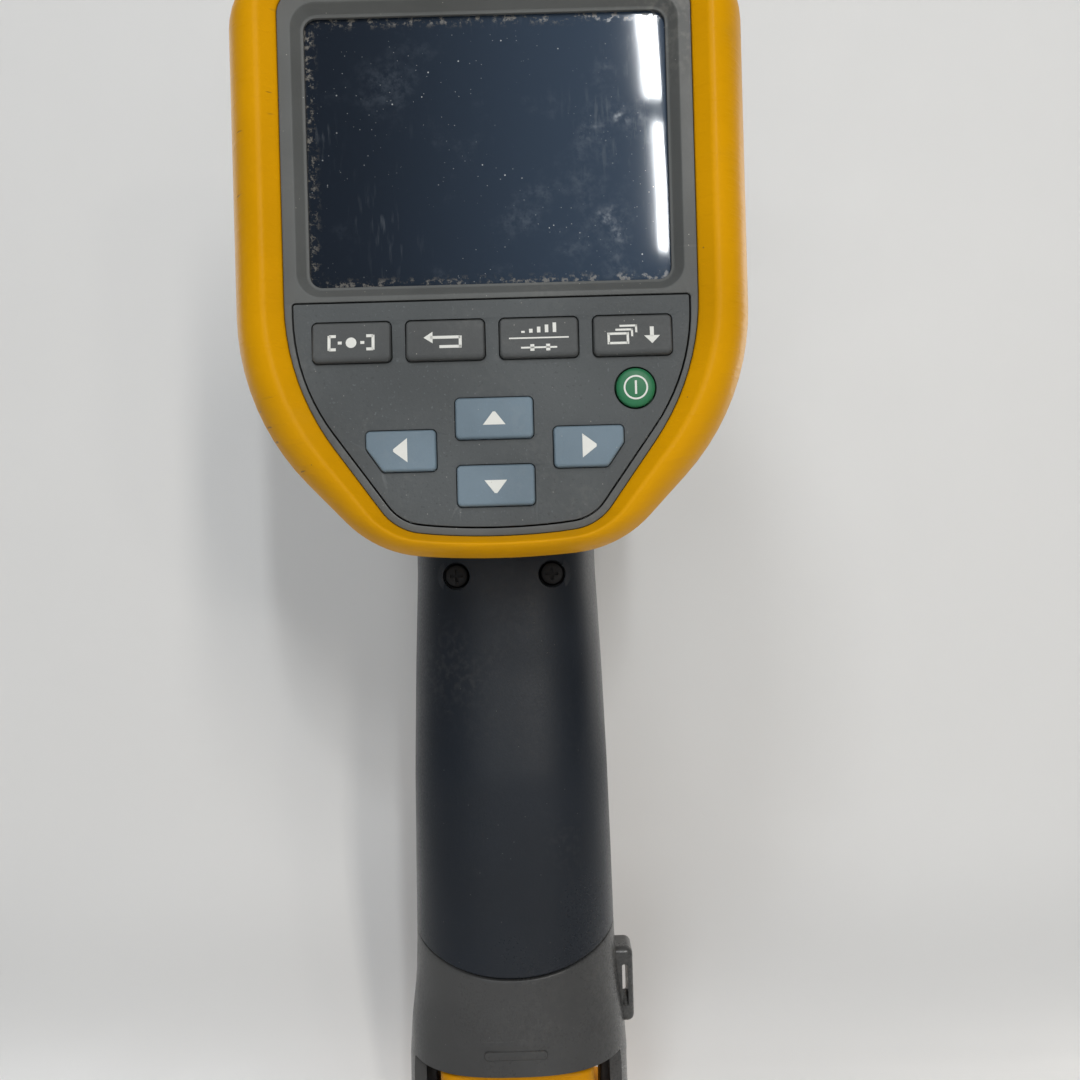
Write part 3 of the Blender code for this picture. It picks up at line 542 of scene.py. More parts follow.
def metal(name, colour, rough, brushed=(1.0, 1.0, 20.0)):
    look = Look(name)
    grain = look.noise(300.0, 4.0, stretch=brushed)
    tone = look.mix(look.band(grain, 0.3, 0.7), shade(colour, 0.82), shade(colour, 1.12))
    stain = look.band(look.noise(90.0, 4.0), 0.55, 0.75)
    tone = look.mix(look.times(stain, 0.35), tone, shade(colour, 0.45))
    roughness = look.math("ADD", look.band(grain, 0.3, 0.7, rough - 0.07, rough + 0.1), look.times(stain, 0.15))
    return look.finish(tone, roughness, look.bump(grain, 0.000008), metallic=1.0)


def board(name):
    """Circuit board: solder mask with tracks and pads under it."""
    look = Look(name)
    tracks = look.node("ShaderNodeTexBrick", {"Vector": look.node("ShaderNodeMapping", {
        "Vector": look.place, "Rotation": (math.pi / 2, 0, 0)}).outputs[0], "Scale": 160.0})
    tone = look.mix(look.band(tracks.outputs["Fac"], 0.2, 0.8), (0.012, 0.10, 0.04), (0.02, 0.17, 0.07))
    tone = look.mix(look.band(look.noise(500.0, 3.0), 0.66, 0.70), tone, (0.45, 0.42, 0.28))
    roughness = look.band(look.noise(90.0), 0.3, 0.7, 0.28, 0.5)
    return look.finish(tone, roughness, look.bump(tracks.outputs["Fac"], 0.00003))


def lens_glass(name):
    """Coated infrared crystal: a dark mirror with a violet cast and light wipe marks."""
    look = Look(name)
    facing = look.node("ShaderNodeLayerWeight", {"Blend": 0.4}).outputs["Facing"]
    tone = look.mix(facing, (0.16, 0.10, 0.20), (0.34, 0.26, 0.20))
    wipe = look.band(look.noise(120.0, 4.0, stretch=(1.0, 1.0, 7.0), turn=(0, 0.6, 0)), 0.5, 0.75)
    tone = look.mix(look.times(wipe, 0.2), tone, (0.35, 0.33, 0.36))
    return look.finish(tone, look.band(wipe, 0.0, 1.0, 0.08, 0.22), look.bump(wipe, 0.000002), metallic=0.85)


YELLOW = rubber_yellow("bumper_yellow_look", (0.640, 0.300, 0.001))
BATTERY_YELLOW = rubber_yellow("battery_yellow_look", (0.620, 0.262, 0.003))
PANEL = moulded("panel_look", (0.070, 0.077, 0.080), 0.52, grain=0.00005, grain_scale=1500.0, speckle=0.22)
FRAME = moulded("frame_look", (0.094, 0.098, 0.096), 0.46, grain=0.00001, grain_scale=2600.0, speckle=0.03,
                dust=0.16)
HOUSING = moulded("housing_look", (0.072, 0.074, 0.075), 0.50, grain=0.00006, grain_scale=1300.0, speckle=0.10,
                  dust=0.05)
COLLAR = moulded("collar_look", (0.052, 0.0525, 0.0525), 0.40, grain=0.00003, grain_scale=1500.0, speckle=0.06,
                 dust=0.05, shiny=0.16)
GRIP = moulded("grip_look", (0.0060, 0.0095, 0.0155), 0.38, grain=0.00002, grain_scale=1900.0, speckle=0.05,
               dust=0.03, scratches=0.25, mottle=0.10)
KEY_DARK = moulded("key_dark_look", (0.062, 0.066, 0.067), 0.48, grain=0.00003, speckle=0.12, dust=0.12)
PLAIN_DARK = moulded("dark_plastic_look", (0.022, 0.024, 0.027), 0.45, grain=0.00003, speckle=0.05, dust=0.06)
KEY_BLUE = moulded("key_blue_look", (0.140, 0.192, 0.235), 0.50, grain=0.00002, speckle=0.05, dust=0.10)
KEY_GREEN = moulded("key_green_look", (0.018, 0.150, 0.062), 0.36, grain=0.00001, speckle=0.04, dust=0.10)
LEGEND = moulded("legend_look", (0.72, 0.72, 0.68), 0.50, grain=0.00001, speckle=0.0, mottle=0.05, dust=0.25)
SILICONE = moulded("silicone_look", (0.18, 0.19, 0.20), 0.6)
CELL_WRAP = moulded("cell_wrap_look", (0.04, 0.14, 0.33), 0.3, grain=0.000005, speckle=0.0, dust=0.04)
GLASS = display_glass("display_glass_look")
GERMANIUM = lens_glass("lens_glass_look")
STEEL = metal("steel_look", (0.42, 0.41, 0.40), 0.36)
SCREW = metal("screw_look", (0.030, 0.030, 0.031), 0.55)
ALUMINIUM = metal("aluminium_look", (0.50, 0.51, 0.52), 0.42, (1.0, 12.0, 1.0))
BRASS = metal("brass_look", (0.58, 0.40, 0.15), 0.30)
BOARD = board("board_look")

SLOT_LOOKS = {
    "bumper_yellow": YELLOW, "battery_yellow": BATTERY_YELLOW, "panel_grey": PANEL, "surround_grey": FRAME,
    "housing_grey": HOUSING, "grip_black": GRIP, "key_grey": PLAIN_DARK, "key_blue": KEY_BLUE,
    "key_green": KEY_GREEN, "window_glass": GLASS, "germanium": GERMANIUM, "board_green": BOARD,
    "silicone_grey": SILICONE, "steel": STEEL, "aluminium": ALUMINIUM, "cell_wrap": CELL_WRAP, "brass": BRASS,
}
NODE_SLOTS = {part["node"]: part["material_slot"] for part in frame["record"]["subparts"]}
for node_name, node in frame["nodes"].items():
    for material_slot in node.material_slots:
        material_slot.material = SLOT_LOOKS[NODE_SLOTS[node_name]]


# ---------------------------------------------------------------- head, seen from behind

def bumper():
    """Soft outer roll, a worn ridge and a facet down to the panel."""
    profile = [(0.12, BUMPER_FRONT_Y), (0.10, BUMPER_FRONT_Y - 0.3), (0.07, BUMPER_FRONT_Y - 1.2),
               (0.02, BUMPER_FRONT_Y - 8.0)]
    steps = 22
    for step in range(steps + 1):
        turn = math.pi / 2 * step / steps
        profile.append((RIDGE_SHARE * (1 - math.cos(turn)), BACK_Y + BUMPER_ROUNDING * (1 - math.sin(turn))))
    profile = profile[:-2]
    profile += [(0.655, BACK_Y + 0.09), (0.70, BACK_Y + 0.14), (0.735, BACK_Y + 0.30), (0.77, BACK_Y + 0.55)]
    facet_end = PANEL_Y - 0.45
    profile += [(0.85, BACK_Y + 1.25), (0.93, BACK_Y + 1.9), (0.975, facet_end), (0.995, facet_end + 0.25),
                (1.0, facet_end + 0.6)]
    rings = [upright(blend(OUTER, INNER, share), y) for share, y in profile]
    lip_y = BACK_Y + 9.5
    rings += [upright(INNER, lip_y)] + walls(OUTER, [(3.5, lip_y), (3.5, BUMPER_FRONT_Y)])
    bm = bmesh.new()
    skin(bm, rings, closed=True)
    piece("bumper", bm, YELLOW, node="bezel_bumper", angle=50)


def rear_frame():
    """Grey rear housing: display recess with sloping walls, and the rim round the keypad."""
    back, front = PANEL_Y, PANEL_Y + 6.2
    opening = rectangle(*DISPLAY_SIZE, 2.6, DISPLAY_AT)
    recess = [(-2.5, back), (-2.3, back + 0.06), (-2.1, back + 0.22), (-0.7, back + 1.75),
              (-0.5, back + 1.92), (-0.1, back + 2.0), (0.0, back + 2.1), (0.0, back + 2.7)]
    seat = [(-1.2, back + 2.7), (-1.2, front)]
    outer = walls(inset(INNER, 0.08), [(0.25, back), (0.07, back + 0.07), (0.0, back + 0.25), (0.0, front)])
    keypad = walls(inset(KEYPAD, RIM),
                   [(-0.22, back), (-0.06, back + 0.06), (0.0, back + 0.22), (0.0, front)])
    bm = bmesh.new()
    holed(bm, [outer, walls(opening, recess + seat), keypad])
    piece("rear_frame", bm, FRAME, node="rear_housing")
    glass = plate(inset(opening, -0.9), back + 3.0, back + 4.6, 0.25)
    piece("display_glass", glass, GLASS, node="display_window")


# Every key: outline, how far its face stands proud at its lower and its upper edge, and its finish
KEYS = {}
for index, key_name in enumerate(("select", "back", "range", "memory")):
    key_at = ((index - 1.5) * FUNCTION_PITCH, HEAD_BOTTOM + FUNCTION_H)
    KEYS[key_name] = (rectangle(*FUNCTION_SIZE, 0.9, key_at), 1.5, 0.35, KEY_DARK)
for key_name in ("up", "down"):
    key_at = (0, HEAD_BOTTOM + ARROW_H[key_name])
    KEYS[key_name] = (rectangle(*ARROW_SIZE, 0.8, key_at), 1.2, 0.9, KEY_BLUE)
half_w, half_h = SIDE_ARROW_SIZE[0] / 2, SIDE_ARROW_SIZE[1] / 2
side_outline = [(-half_w, -half_h, 0.8), (half_w - 3.2, -half_h, 0.9), (half_w, -half_h + 4.6, 0.9),
                (half_w, half_h, 0.8), (-half_w, half_h, 0.8)]
side_z = HEAD_BOTTOM + ARROW_H["side"]
right_outline = [(SIDE_ARROW_X + a, side_z + b, r) for a, b, r in side_outline]
left_outline = [(-a, b, r) for a, b, r in reversed(right_outline)]
KEYS["right"] = (right_outline, 1.2, 0.9, KEY_BLUE)
KEYS["left"] = (left_outline, 1.2, 0.9, KEY_BLUE)


def key_face(name):
    """Function giving the Y of a key's face at a height."""
    outline, low_proud, high_proud = KEYS[name][:3]
    low, high = min(c[1] for c in outline), max(c[1] for c in outline)
    return lambda z: PANEL_Y - low_proud + (low_proud - high_proud) * (z - low) / (high - low)


def key_cap(name):
    outline, _, _, look = KEYS[name]
    face = key_face(name)
    wide = inset(outline, -0.17)
    high = max(c[1] for c in outline)
    rings = walls(outline, [(-0.9, KEY_FLANGE_Y + 1.0), (-0.9, KEY_FLANGE_Y)]) + [upright(wide, KEY_FLANGE_Y)]
    for depth, below, lift in ((0.0, 0.95, 0.0), (0.03, 0.55, 0.01), (0.12, 0.26, 0.03), (0.27, 0.08, 0.06),
                               (0.48, 0.0, 0.10)):
        lift = lift if look is KEY_DARK else lift * 0.3
        ring = [(x, high - (high - z) * (1 - lift)) for x, _, z in upright(inset(wide, depth), 0)]
        rings.append([(x, face(z) + below, z) for x, z in ring])
    bm = bmesh.new()
    skin(bm, rings)
    body = name + "_button"
    piece(name + "_key", bm, look, body=body, node=body)


def bar(x0, z0, x1, z1, width):
    """A straight stroke between two points, as an outline."""
    a, b = Vector((x0, z0)), Vector((x1, z1))
    across = Vector((a.y - b.y, b.x - a.x)).normalized() * width / 2
    return [a - across, b - across, b + across, a + across]


def frame_strokes(x, z, w, h, width):
    return [bar(x - w, z - h, x + w, z - h, width), bar(x - w, z + h, x + w, z + h, width),
            bar(x - w, z - h - width / 2, x - w, z + h + width / 2, width),
            bar(x + w, z - h - width / 2, x + w, z + h + width / 2, width)]


def legend(name, outlines, face, body):
    """Printed marks standing a hair proud of a key's face."""
    bm = bmesh.new()
    for outline in outlines:
        skin(bm, [[(p[0], face(p[1]) - lift, p[1]) for p in outline] for lift in (-0.03, 0.035)])
    piece(name, bm, LEGEND, body=body, weighted=False)


ARROWS = ("up", "down", "left", "right")


def key_legends():
    def at(name, marks):
        outline = KEYS[name][0]
        x = sum(c[0] for c in outline) / len(outline)
        z = sum(c[1] for c in outline) / len(outline) - 0.15
        size = 1.0 if name in ARROWS else 1.12
        moved = [[Vector((p[0] * size + x, p[1] * size + z)) for p in mark] for mark in marks]
        legend(name + "_mark", moved, key_face(name), name + "_button")

    bold = 0.52
    select = [circle(0.95, (0, 0), 24)]
    for side in (-1, 1):
        select += [bar(side * 3.9, -1.35, side * 3.9, 1.35, bold), bar(side * 3.9, 1.2, side * 2.7, 1.2, bold),
                   bar(side * 3.9, -1.2, side * 2.7, -1.2, bold), bar(side * 2.35, 0, side * 1.65, 0, bold)]
    at("select", select)
    back = [bar(-2.6, 0.55, 2.7, 0.55, bold), bar(2.7, 0.78, 2.7, -1.3, bold),
            bar(2.93, -1.15, -1.0, -1.15, bold),
            [(-2.2, 1.6), (-3.8, 0.55), (-2.2, -0.5)]]
    at("back", back)
    upper = [bar(-2.8 + 1.4 * i, 0.95, -2.8 + 1.4 * i, 1.3 + 0.35 * i, 0.62) for i in range(5)]
    lower = [bar(-3.2, -1.75, 3.2, -1.75, 0.32), bar(-1.2, -2.35, -1.2, -1.15, 0.7),
             bar(1.6, -2.35, 1.6, -1.15, 0.7)]
    at("range", [bar(-5.3, 0.0, 5.3, 0.0, 0.26)] + upper + lower)
    cards = frame_strokes(-2.6, -0.5, 1.7, 0.85, 0.42)
    for step in (1, 2):
        x, z = -2.6 + 0.75 * step, -0.5 + 0.7 * step
        cards += [bar(x - 1.2, z + 0.85, x + 1.91, z + 0.85, 0.36),
                  bar(x + 1.73, z + 1.03, x + 1.73, z - 0.4, 0.36)]
    cards += [bar(3.4, 1.5, 3.4, -0.2, 0.7), [(2.0, -0.1), (3.4, -1.55), (4.8, -0.1)]]
    at("memory", cards)
    at("up", [[(-2.25, -1.2), (2.25, -1.2), (0.25, 1.4), (-0.25, 1.4)]])
    at("down", [[(-2.25, 1.2), (2.25, 1.2), (0.25, -1.4), (-0.25, -1.4)]])
    for name, side in (("left", -1), ("right", 1)):
        outline = KEYS[name][0]
        centre = sum(c[0] for c in outline) / len(outline) - side * SIDE_ARROW_X
        tip = [(-1.3, -2.4), (-1.3, 2.4), (1.5, 0.25), (1.5, -0.25)]
        at(name, [[(side * a - centre, b + 0.15) for a, b in tip]])


def power_key():
    radius = POWER_RADIUS
    profile = [(0.001, KEY_FLANGE_Y + 1.0), (radius + 0.8, KEY_FLANGE_Y + 1.0), (radius + 0.8, KEY_FLANGE_Y),
               (radius, KEY_FLANGE_Y), (radius, PANEL_Y - 0.3), (radius - 0.08, PANEL_Y - 0.55),
               (radius - 0.3, PANEL_Y - 0.74)]
    dome = lambda r: PANEL_Y - 1.1 + 0.3 * (r / radius) ** 2
    profile += [(r, dome(r)) for r in (3.2, 2.6, 2.0, 1.4, 0.8, 0.001)]
    piece("power_key", spun(profile, POWER_AT, 72), KEY_GREEN, body="power_button", node="power_button")
    ring = spun([(2.08, dome(2.08) + 0.03), (2.08, dome(2.08) - 0.035), (2.25, dome(2.25) - 0.045),
                 (2.42, dome(2.42) - 0.035), (2.42, dome(2.42) + 0.03)], POWER_AT, 64)
    x, z = POWER_AT
    mark = bar(x, z - 1.35, x, z + 1.35, 0.4)
    skin(ring, [[(p[0], dome(0) + lift, p[1]) for p in mark] for lift in (0.06, -0.03)])
    piece("power_mark", ring, LEGEND, body="power_button", weighted=False)


def keypad():
    holes = [inset(outline, -GAP) for outline, *_ in KEYS.values()]
    holes.append((POWER_RADIUS + GAP, POWER_AT))
    panel = plate(inset(KEYPAD, RIM + GAP), PANEL_Y, PANEL_Y + KEYPAD_THICKNESS, 0.16, holes)
    piece("keypad_face", panel, PANEL, node="keypad_panel")
    for name in KEYS:
        key_cap(name)
    key_legends()
    power_key()


# ---------------------------------------------------------------- handle

def parting_turn(z, y):
    """Turn, near pi, at which the handle's surface crosses a plane of constant y."""
    centre_y, _, half_y = handle_section(z)
    offset = centre_y - y
    return math.pi + math.asin(math.copysign((abs(offset) / half_y) ** (SQUARENESS / 2), offset))


def edge_steps(length, radius, count):
    """Distances along a length, close together near the rounded ends."""
    near = [radius * (1 - math.cos(math.pi / 2 * i / 4)) for i in range(5)]
    middle = [radius + (length - 2 * radius) * i / count for i in range(1, count)]
    return near + middle + [length - d for d in reversed(near)]


def roll(distance, length, radius):
    """How far a rounded edge has dropped, at a distance along a length."""
    gap = min(distance, length - distance)
    return radius - math.sqrt(max(0.0, radius ** 2 - (radius - gap) ** 2)) if gap < radius else 0.0


PATCH_ARC, PATCH_HEIGHT = 75.0, 92.0
PATCH_STEPS = (90, 34)


def shell_patch(turns_at, z_low_at, z_high, radius, wall):
    """A curved plate of the handle between two turns, above a curved lower edge, with rounded edges."""
    arc, height = PATCH_ARC, PATCH_HEIGHT
    us, vs = edge_steps(arc, radius, PATCH_STEPS[0]), edge_steps(height, radius, PATCH_STEPS[1])
    rows_out, rows_in = [], []
    for v in vs:
        outer_row, inner_row = [], []
        for u in us:
            share = u / arc
            z = z_high - (z_high - z_low_at(0.0)) * (1 - v / height)
            for _ in range(3):
                first, last = turns_at(z)
                turn = first + (last - first) * share
                x = handle_point(turn, z, 0)[0]
                low = z_low_at(x)
                z = low + (z_high - low) * v / height
            drop = max(roll(u, arc, radius), roll(v, height, radius))
            outer_row.append(handle_point(turn, z, drop))
            inner_row.append(handle_point(turn, z, wall))
        rows_out.append(outer_row)
        rows_in.append(inner_row)
    bm = bmesh.new()
    outer = [[bm.verts.new(p) for p in row] for row in rows_out]
    inner = [[bm.verts.new(p) for p in row] for row in rows_in]
    for grid in (outer, inner):
        for a, b in zip(grid, grid[1:]):
            for i in range(len(a) - 1):
                bm.faces.new((a[i], a[i + 1], b[i + 1], b[i]))
    loops = []
    for grid in (outer, inner):
        right, left = [row[-1] for row in grid[1:-1]], [row[0] for row in grid[-2:0:-1]]
        loops.append(grid[0] + right + grid[-1][::-1] + left)
    for i in range(len(loops[0])):
        j = (i + 1) % len(loops[0])
        bm.faces.new((loops[0][i], loops[0][j], loops[1][j], loops[1][i]))
    return bm


def seam(x):
    return SEAM_Z + SEAM_RISE * min(1.0, abs(x) / 23.9) ** 2


def rear_cover():
    def turns(z):
        first = parting_turn(z, PARTING_Y)
        return first, 3 * math.pi - first

    cover = shell_patch(turns, seam, HANDLE_TOP, 0.55, HANDLE_WALL)
    bosses = [rod(4.4, (side * SCREW_X, SCREW_Z), -17.4, -10.5) for side in (-1, 1)]
    cover = carve(cover, *bosses, operation="UNION")
    cutters = []
    for side in (-1, 1):
        x = side * SCREW_X
        flare = [(0.001, -40), (3.75, -40), (3.75, -20.9), (3.45, -20.2), (3.15, -19.7), (3.15, -15.2),
                 (0.001, -15.2)]
        cutters += [spun(flare, (x, SCREW_Z), 48), rod(1.5, (x, SCREW_Z), -16, -8, 24)]
    cover = carve(cover, *cutters)
    piece("rear_cover", cover, GRIP, node="handle_rear_cover", angle=38)
    for side, name in ((-1, "left"), (1, "right")):
        x = side * SCREW_X
        head = spun([(0.001, -17.35), (1.9, -17.35), (2.45, -17.2), (2.75, -16.8), (2.8, -16.4), (2.8, -15.5),
                     (1.2, -15.5), (1.2, -3.0), (0.001, -3.0)], (x, SCREW_Z), 48)
        slots = [block((x - 1.5, x + 1.5), (-18, -16.35), (SCREW_Z - 0.35, SCREW_Z + 0.35), 0),
                 block((x - 0.35, x + 0.35), (-18, -16.35), (SCREW_Z - 1.5, SCREW_Z + 1.5), 0)]
        head = carve(head, *slots)
        piece("handle_screw_head_" + name, head, SCREW, node="handle_screw_" + name)


def front_shell():
    def turns(z):
        first = parting_turn(z, PARTING_Y + GAP)
        return first, math.pi - first

    def flat(_):
        return SHELL_BOTTOM

    shell = shell_patch(lambda z: (turns(z)[1], turns(z)[0]), flat, HANDLE_TOP, 0.5, HANDLE_WALL)
    slot = block((-6.8, 6.8), (15, 40), (108.5, 143.0), 0.9)
    grooves = [block((-30, 30), (23.9 - i * 0.03, 40.0), (64.5 + i * 4.4, 65.7 + i * 4.4), 0.45, 2)
               for i in range(9)]
    shell = carve(shell, slot, *grooves)
    piece("front_shell", shell, HOUSING, node="handle_front_shell", angle=38)


def collar():
    """Flared collar under the grips, with its two side legs, latch windows, nib and strap lug."""
    rings_out, rings_in = [], []
    count = 160
    levels = [0.0, 0.004, 0.014, 0.03, 0.06, 0.10, 0.16, 0.22, 0.30, 0.38, 0.46, 0.54, 0.60, 0.66, 0.74, 0.82,
              0.90, 0.96, 1.0]
    for level in levels:
        outer, inner = [], []
        for i in range(count):
            turn = 2 * math.pi * i / count
            x, y, _ = handle_point(turn, SEAM_Z, 0)
            top = seam(x) - GAP if y < PARTING_Y + GAP else SHELL_BOTTOM - GAP
            z = top + (LEG_BOTTOM - top) * level
            lip = (top - z)
            drop = 0.5 - math.sqrt(max(0.0, 0.25 - (0.5 - lip) ** 2)) if lip < 0.5 else 0.0
            outer.append(handle_point(turn, z, drop))
            inner.append(handle_point(turn, z, HANDLE_WALL))
        rings_out.append(outer)
        rings_in.append(inner)
    bm = bmesh.new()
    skin(bm, rings_out + rings_in[::-1], closed=True)
    cutters = []
    for side in (-1, 1):
        cutters.append(block((-40, 40), on_side(side, 14.0, 40.0), (-5, COLLAR_BOTTOM), 0.8))
        cutters.append(block(on_side(side, 20.0, 30.0), (-7.5, 7.5), (13.0, 25.0), 0.9))
    bm = carve(bm, *cutters)
    lug = block((22.5, 28.2), (-5, 5), (30.5, 48.5), 1.6, 4)
    bm = carve(bm, lug, operation="UNION")
    hollow = bmesh.new()
    skin(hollow, handle_rings(HANDLE_WALL, LEG_BOTTOM - 5.0, 70.0))
    bm = carve(bm, block((25.5, 26.9), (-10, 10), (34.5, 44.5), 0.4, 2), hollow)
    piece("collar", bm, COLLAR, node="handle_collar", angle=42)
    nib = []
    for depth, lift in ((0.0, -0.3), (0.0, 0.25), (0.15, 0.42), (0.5, 0.5)):
        ring = []
        for p in rounded(inset(rectangle(14.2, 2.0, 0.95, (0, 33.2)), depth), 6):
            centre_y, half_x, half_y = handle_section(p.y)
            share = min(1.0, abs(p.x) / half_x)
            surface = centre_y - half_y * (1 - share ** SQUARENESS) ** (1 / SQUARENESS)
            ring.append((p.x, surface - lift, p.y))
        nib.append(ring)
    bm = bmesh.new()
    skin(bm, nib)
    piece("collar_nib", bm, COLLAR)


def trigger():
    pivot_y, pivot_z = TRIGGER_PIVOT
    corners = [(13.0, 137.0, 2.0), (19.0, 131.0, 3.0), (19.5, 114.0, 2.0), (31.5, 110.8, 2.5),
               (34.2, 121.0, 6.0), (31.0, 136.0, 6.0), (22.0, 142.6, 1.5), (13.0, 143.0, 2.0)]
    bm = plate(corners, -6.2, 6.2, 1.1, [(1.4, (pivot_y, pivot_z))], facing="x")
    ribs = [block((-4.6, 4.6), (y0, y0 + 3.0), (z, z + 0.7), 0.25, 2)
            for y0, z in ((32.9, 115.0), (33.5, 117.6), (33.8, 120.2), (33.7, 122.8), (33.3, 125.4),
                          (32.8, 128.0))]
    bm = carve(bm, *ribs)
    piece("trigger_shoe", bm, HOUSING, body="trigger", node="trigger", angle=40)


# ---------------------------------------------------------------- battery pack

def level(corners, z):
    return [(p.x, p.y, z) for p in rounded(corners)]


def battery():
    foot, body = rectangle(48.0, 46.0, 7.0), rectangle(35.0, 46.8, 4.0)
    foot_steps = [(1.8, 0.0), (1.1, 0.15), (0.4, 0.9), (0.1, 1.6), (0.0, 2.4), (0.0, 6.0), (0.15, 6.5),
                  (0.8, 7.0)]
    body_steps = [(-0.5, 7.0), (-0.1, 7.15), (0.0, 7.6), (0.0, 26.9), (0.12, 27.3), (0.4, 27.6), (0.9, 27.8)]
    rings = [level(inset(corners, depth), z) for corners, steps in ((foot, foot_steps), (body, body_steps))
             for depth, z in steps]
    bm = bmesh.new()
    skin(bm, rings)
    well = block((-10.0, 10.0), (-19.6, 19.6), (3.0, 40.0), 0.4, 2)
    tools = [well]
    for side in (-1, 1):
        tools.append(block((-13.6, 13.6), on_side(side, 22.9, 30.0), (10.0, 25.0), 0.5))
        for i in range(5):
            x, y = -12.0 + i * 6.0, side * 24
            if i in (0, 4):
                tools.append(block((x - 0.5, x + 0.5), (y - 4, y + 4), (1.9, 5.0), 0.2, 2))
            else:
                tools.append(block((x - 1.4, x + 1.4), (y - 1.4, y + 1.4), (3.0, 3.9), 0.2, 2))
    bm = carve(bm, *tools)
    piece("battery_body", bm, BATTERY_YELLOW, body="battery_pack", node="battery_base",
          angle=40)
    top = plate(rectangle(21.6, 40.4, 5.0), 87.3, 90.5, 0.7, facing="z")
    grooves = [block((-6.5, 6.5), (y - 1.2, y + 1.2), (89.9, 92.0), 0.3, 2)
               for y in (-12.0, -6.0, 0.0, 6.0, 12.0)]
    piece("battery_cap", carve(top, *grooves), PLAIN_DARK, body="battery_pack", node="battery_top")
    for side, name in ((-1, "left"), (1, "right")):
        inside, outside = LATCH_X - 1.6, LATCH_X + 1.6
        latch = block(on_side(side, inside, outside), (-6.8, 6.8), (7.3, 31.0), 0.7)
        rib_x = on_side(side, outside - 0.45, outside + 2.0)
        ribs = [block(rib_x, (-5.4, 5.4), (z, z + 0.8), 0.2, 2) for z in (14.6, 16.6, 18.6, 20.6, 22.6)]
        piece("latch_tab_" + name, carve(latch, *ribs), PLAIN_DARK, body="latch_" + name,
              node="latch_" + name)


# ---------------------------------------------------------------- head, from the side and the front

MIDDLE_X, MIDDLE_Y = 46.5, 28.0
WALL_SLANT = math.atan2(HEAD_HALF_WIDTH - 1.5 - MIDDLE_X, MIDDLE_Y - (BUMPER_FRONT_Y + GAP + 1.2))


def wall_x(y):
    """X of the left wall's outer face at y."""
    return -(MIDDLE_X + (MIDDLE_Y - y) * math.tan(WALL_SLANT))


def door_frame(bm):
    """Turn a mesh made about the door's centre, facing -X, onto the slanted wall."""
    y = sum(DOOR_Y) / 2
    at = Matrix.Translation((wall_x(y), y, HEAD_BOTTOM + sum(DOOR_H) / 2))
    bmesh.ops.transform(bm, matrix=at @ Matrix.Rotation(-WALL_SLANT, 4, "Z"), verts=bm.verts)
    return bm


def port_door():
    half_y, half_z = (DOOR_Y[1] - DOOR_Y[0]) / 2, (DOOR_H[1] - DOOR_H[0]) / 2
    door = block((0.0, DOOR_THICKNESS), (-half_y, half_y), (-half_z, half_z), 0.4)
    notch = [block((-1.0, 0.7), (-half_y - 1.0, -half_y + 2.2), (-6.0, 6.0), 0.35, 2)]
    notch += [block((-1.0, 0.35), (-half_y + 4.0 + 1.6 * i, -half_y + 4.7 + 1.6 * i), (-9.0, 9.0), 0.15, 2)
              for i in range(4)]
    piece("side_door", door_frame(carve(door, *notch)), HOUSING, body="port_door", node="port_door")


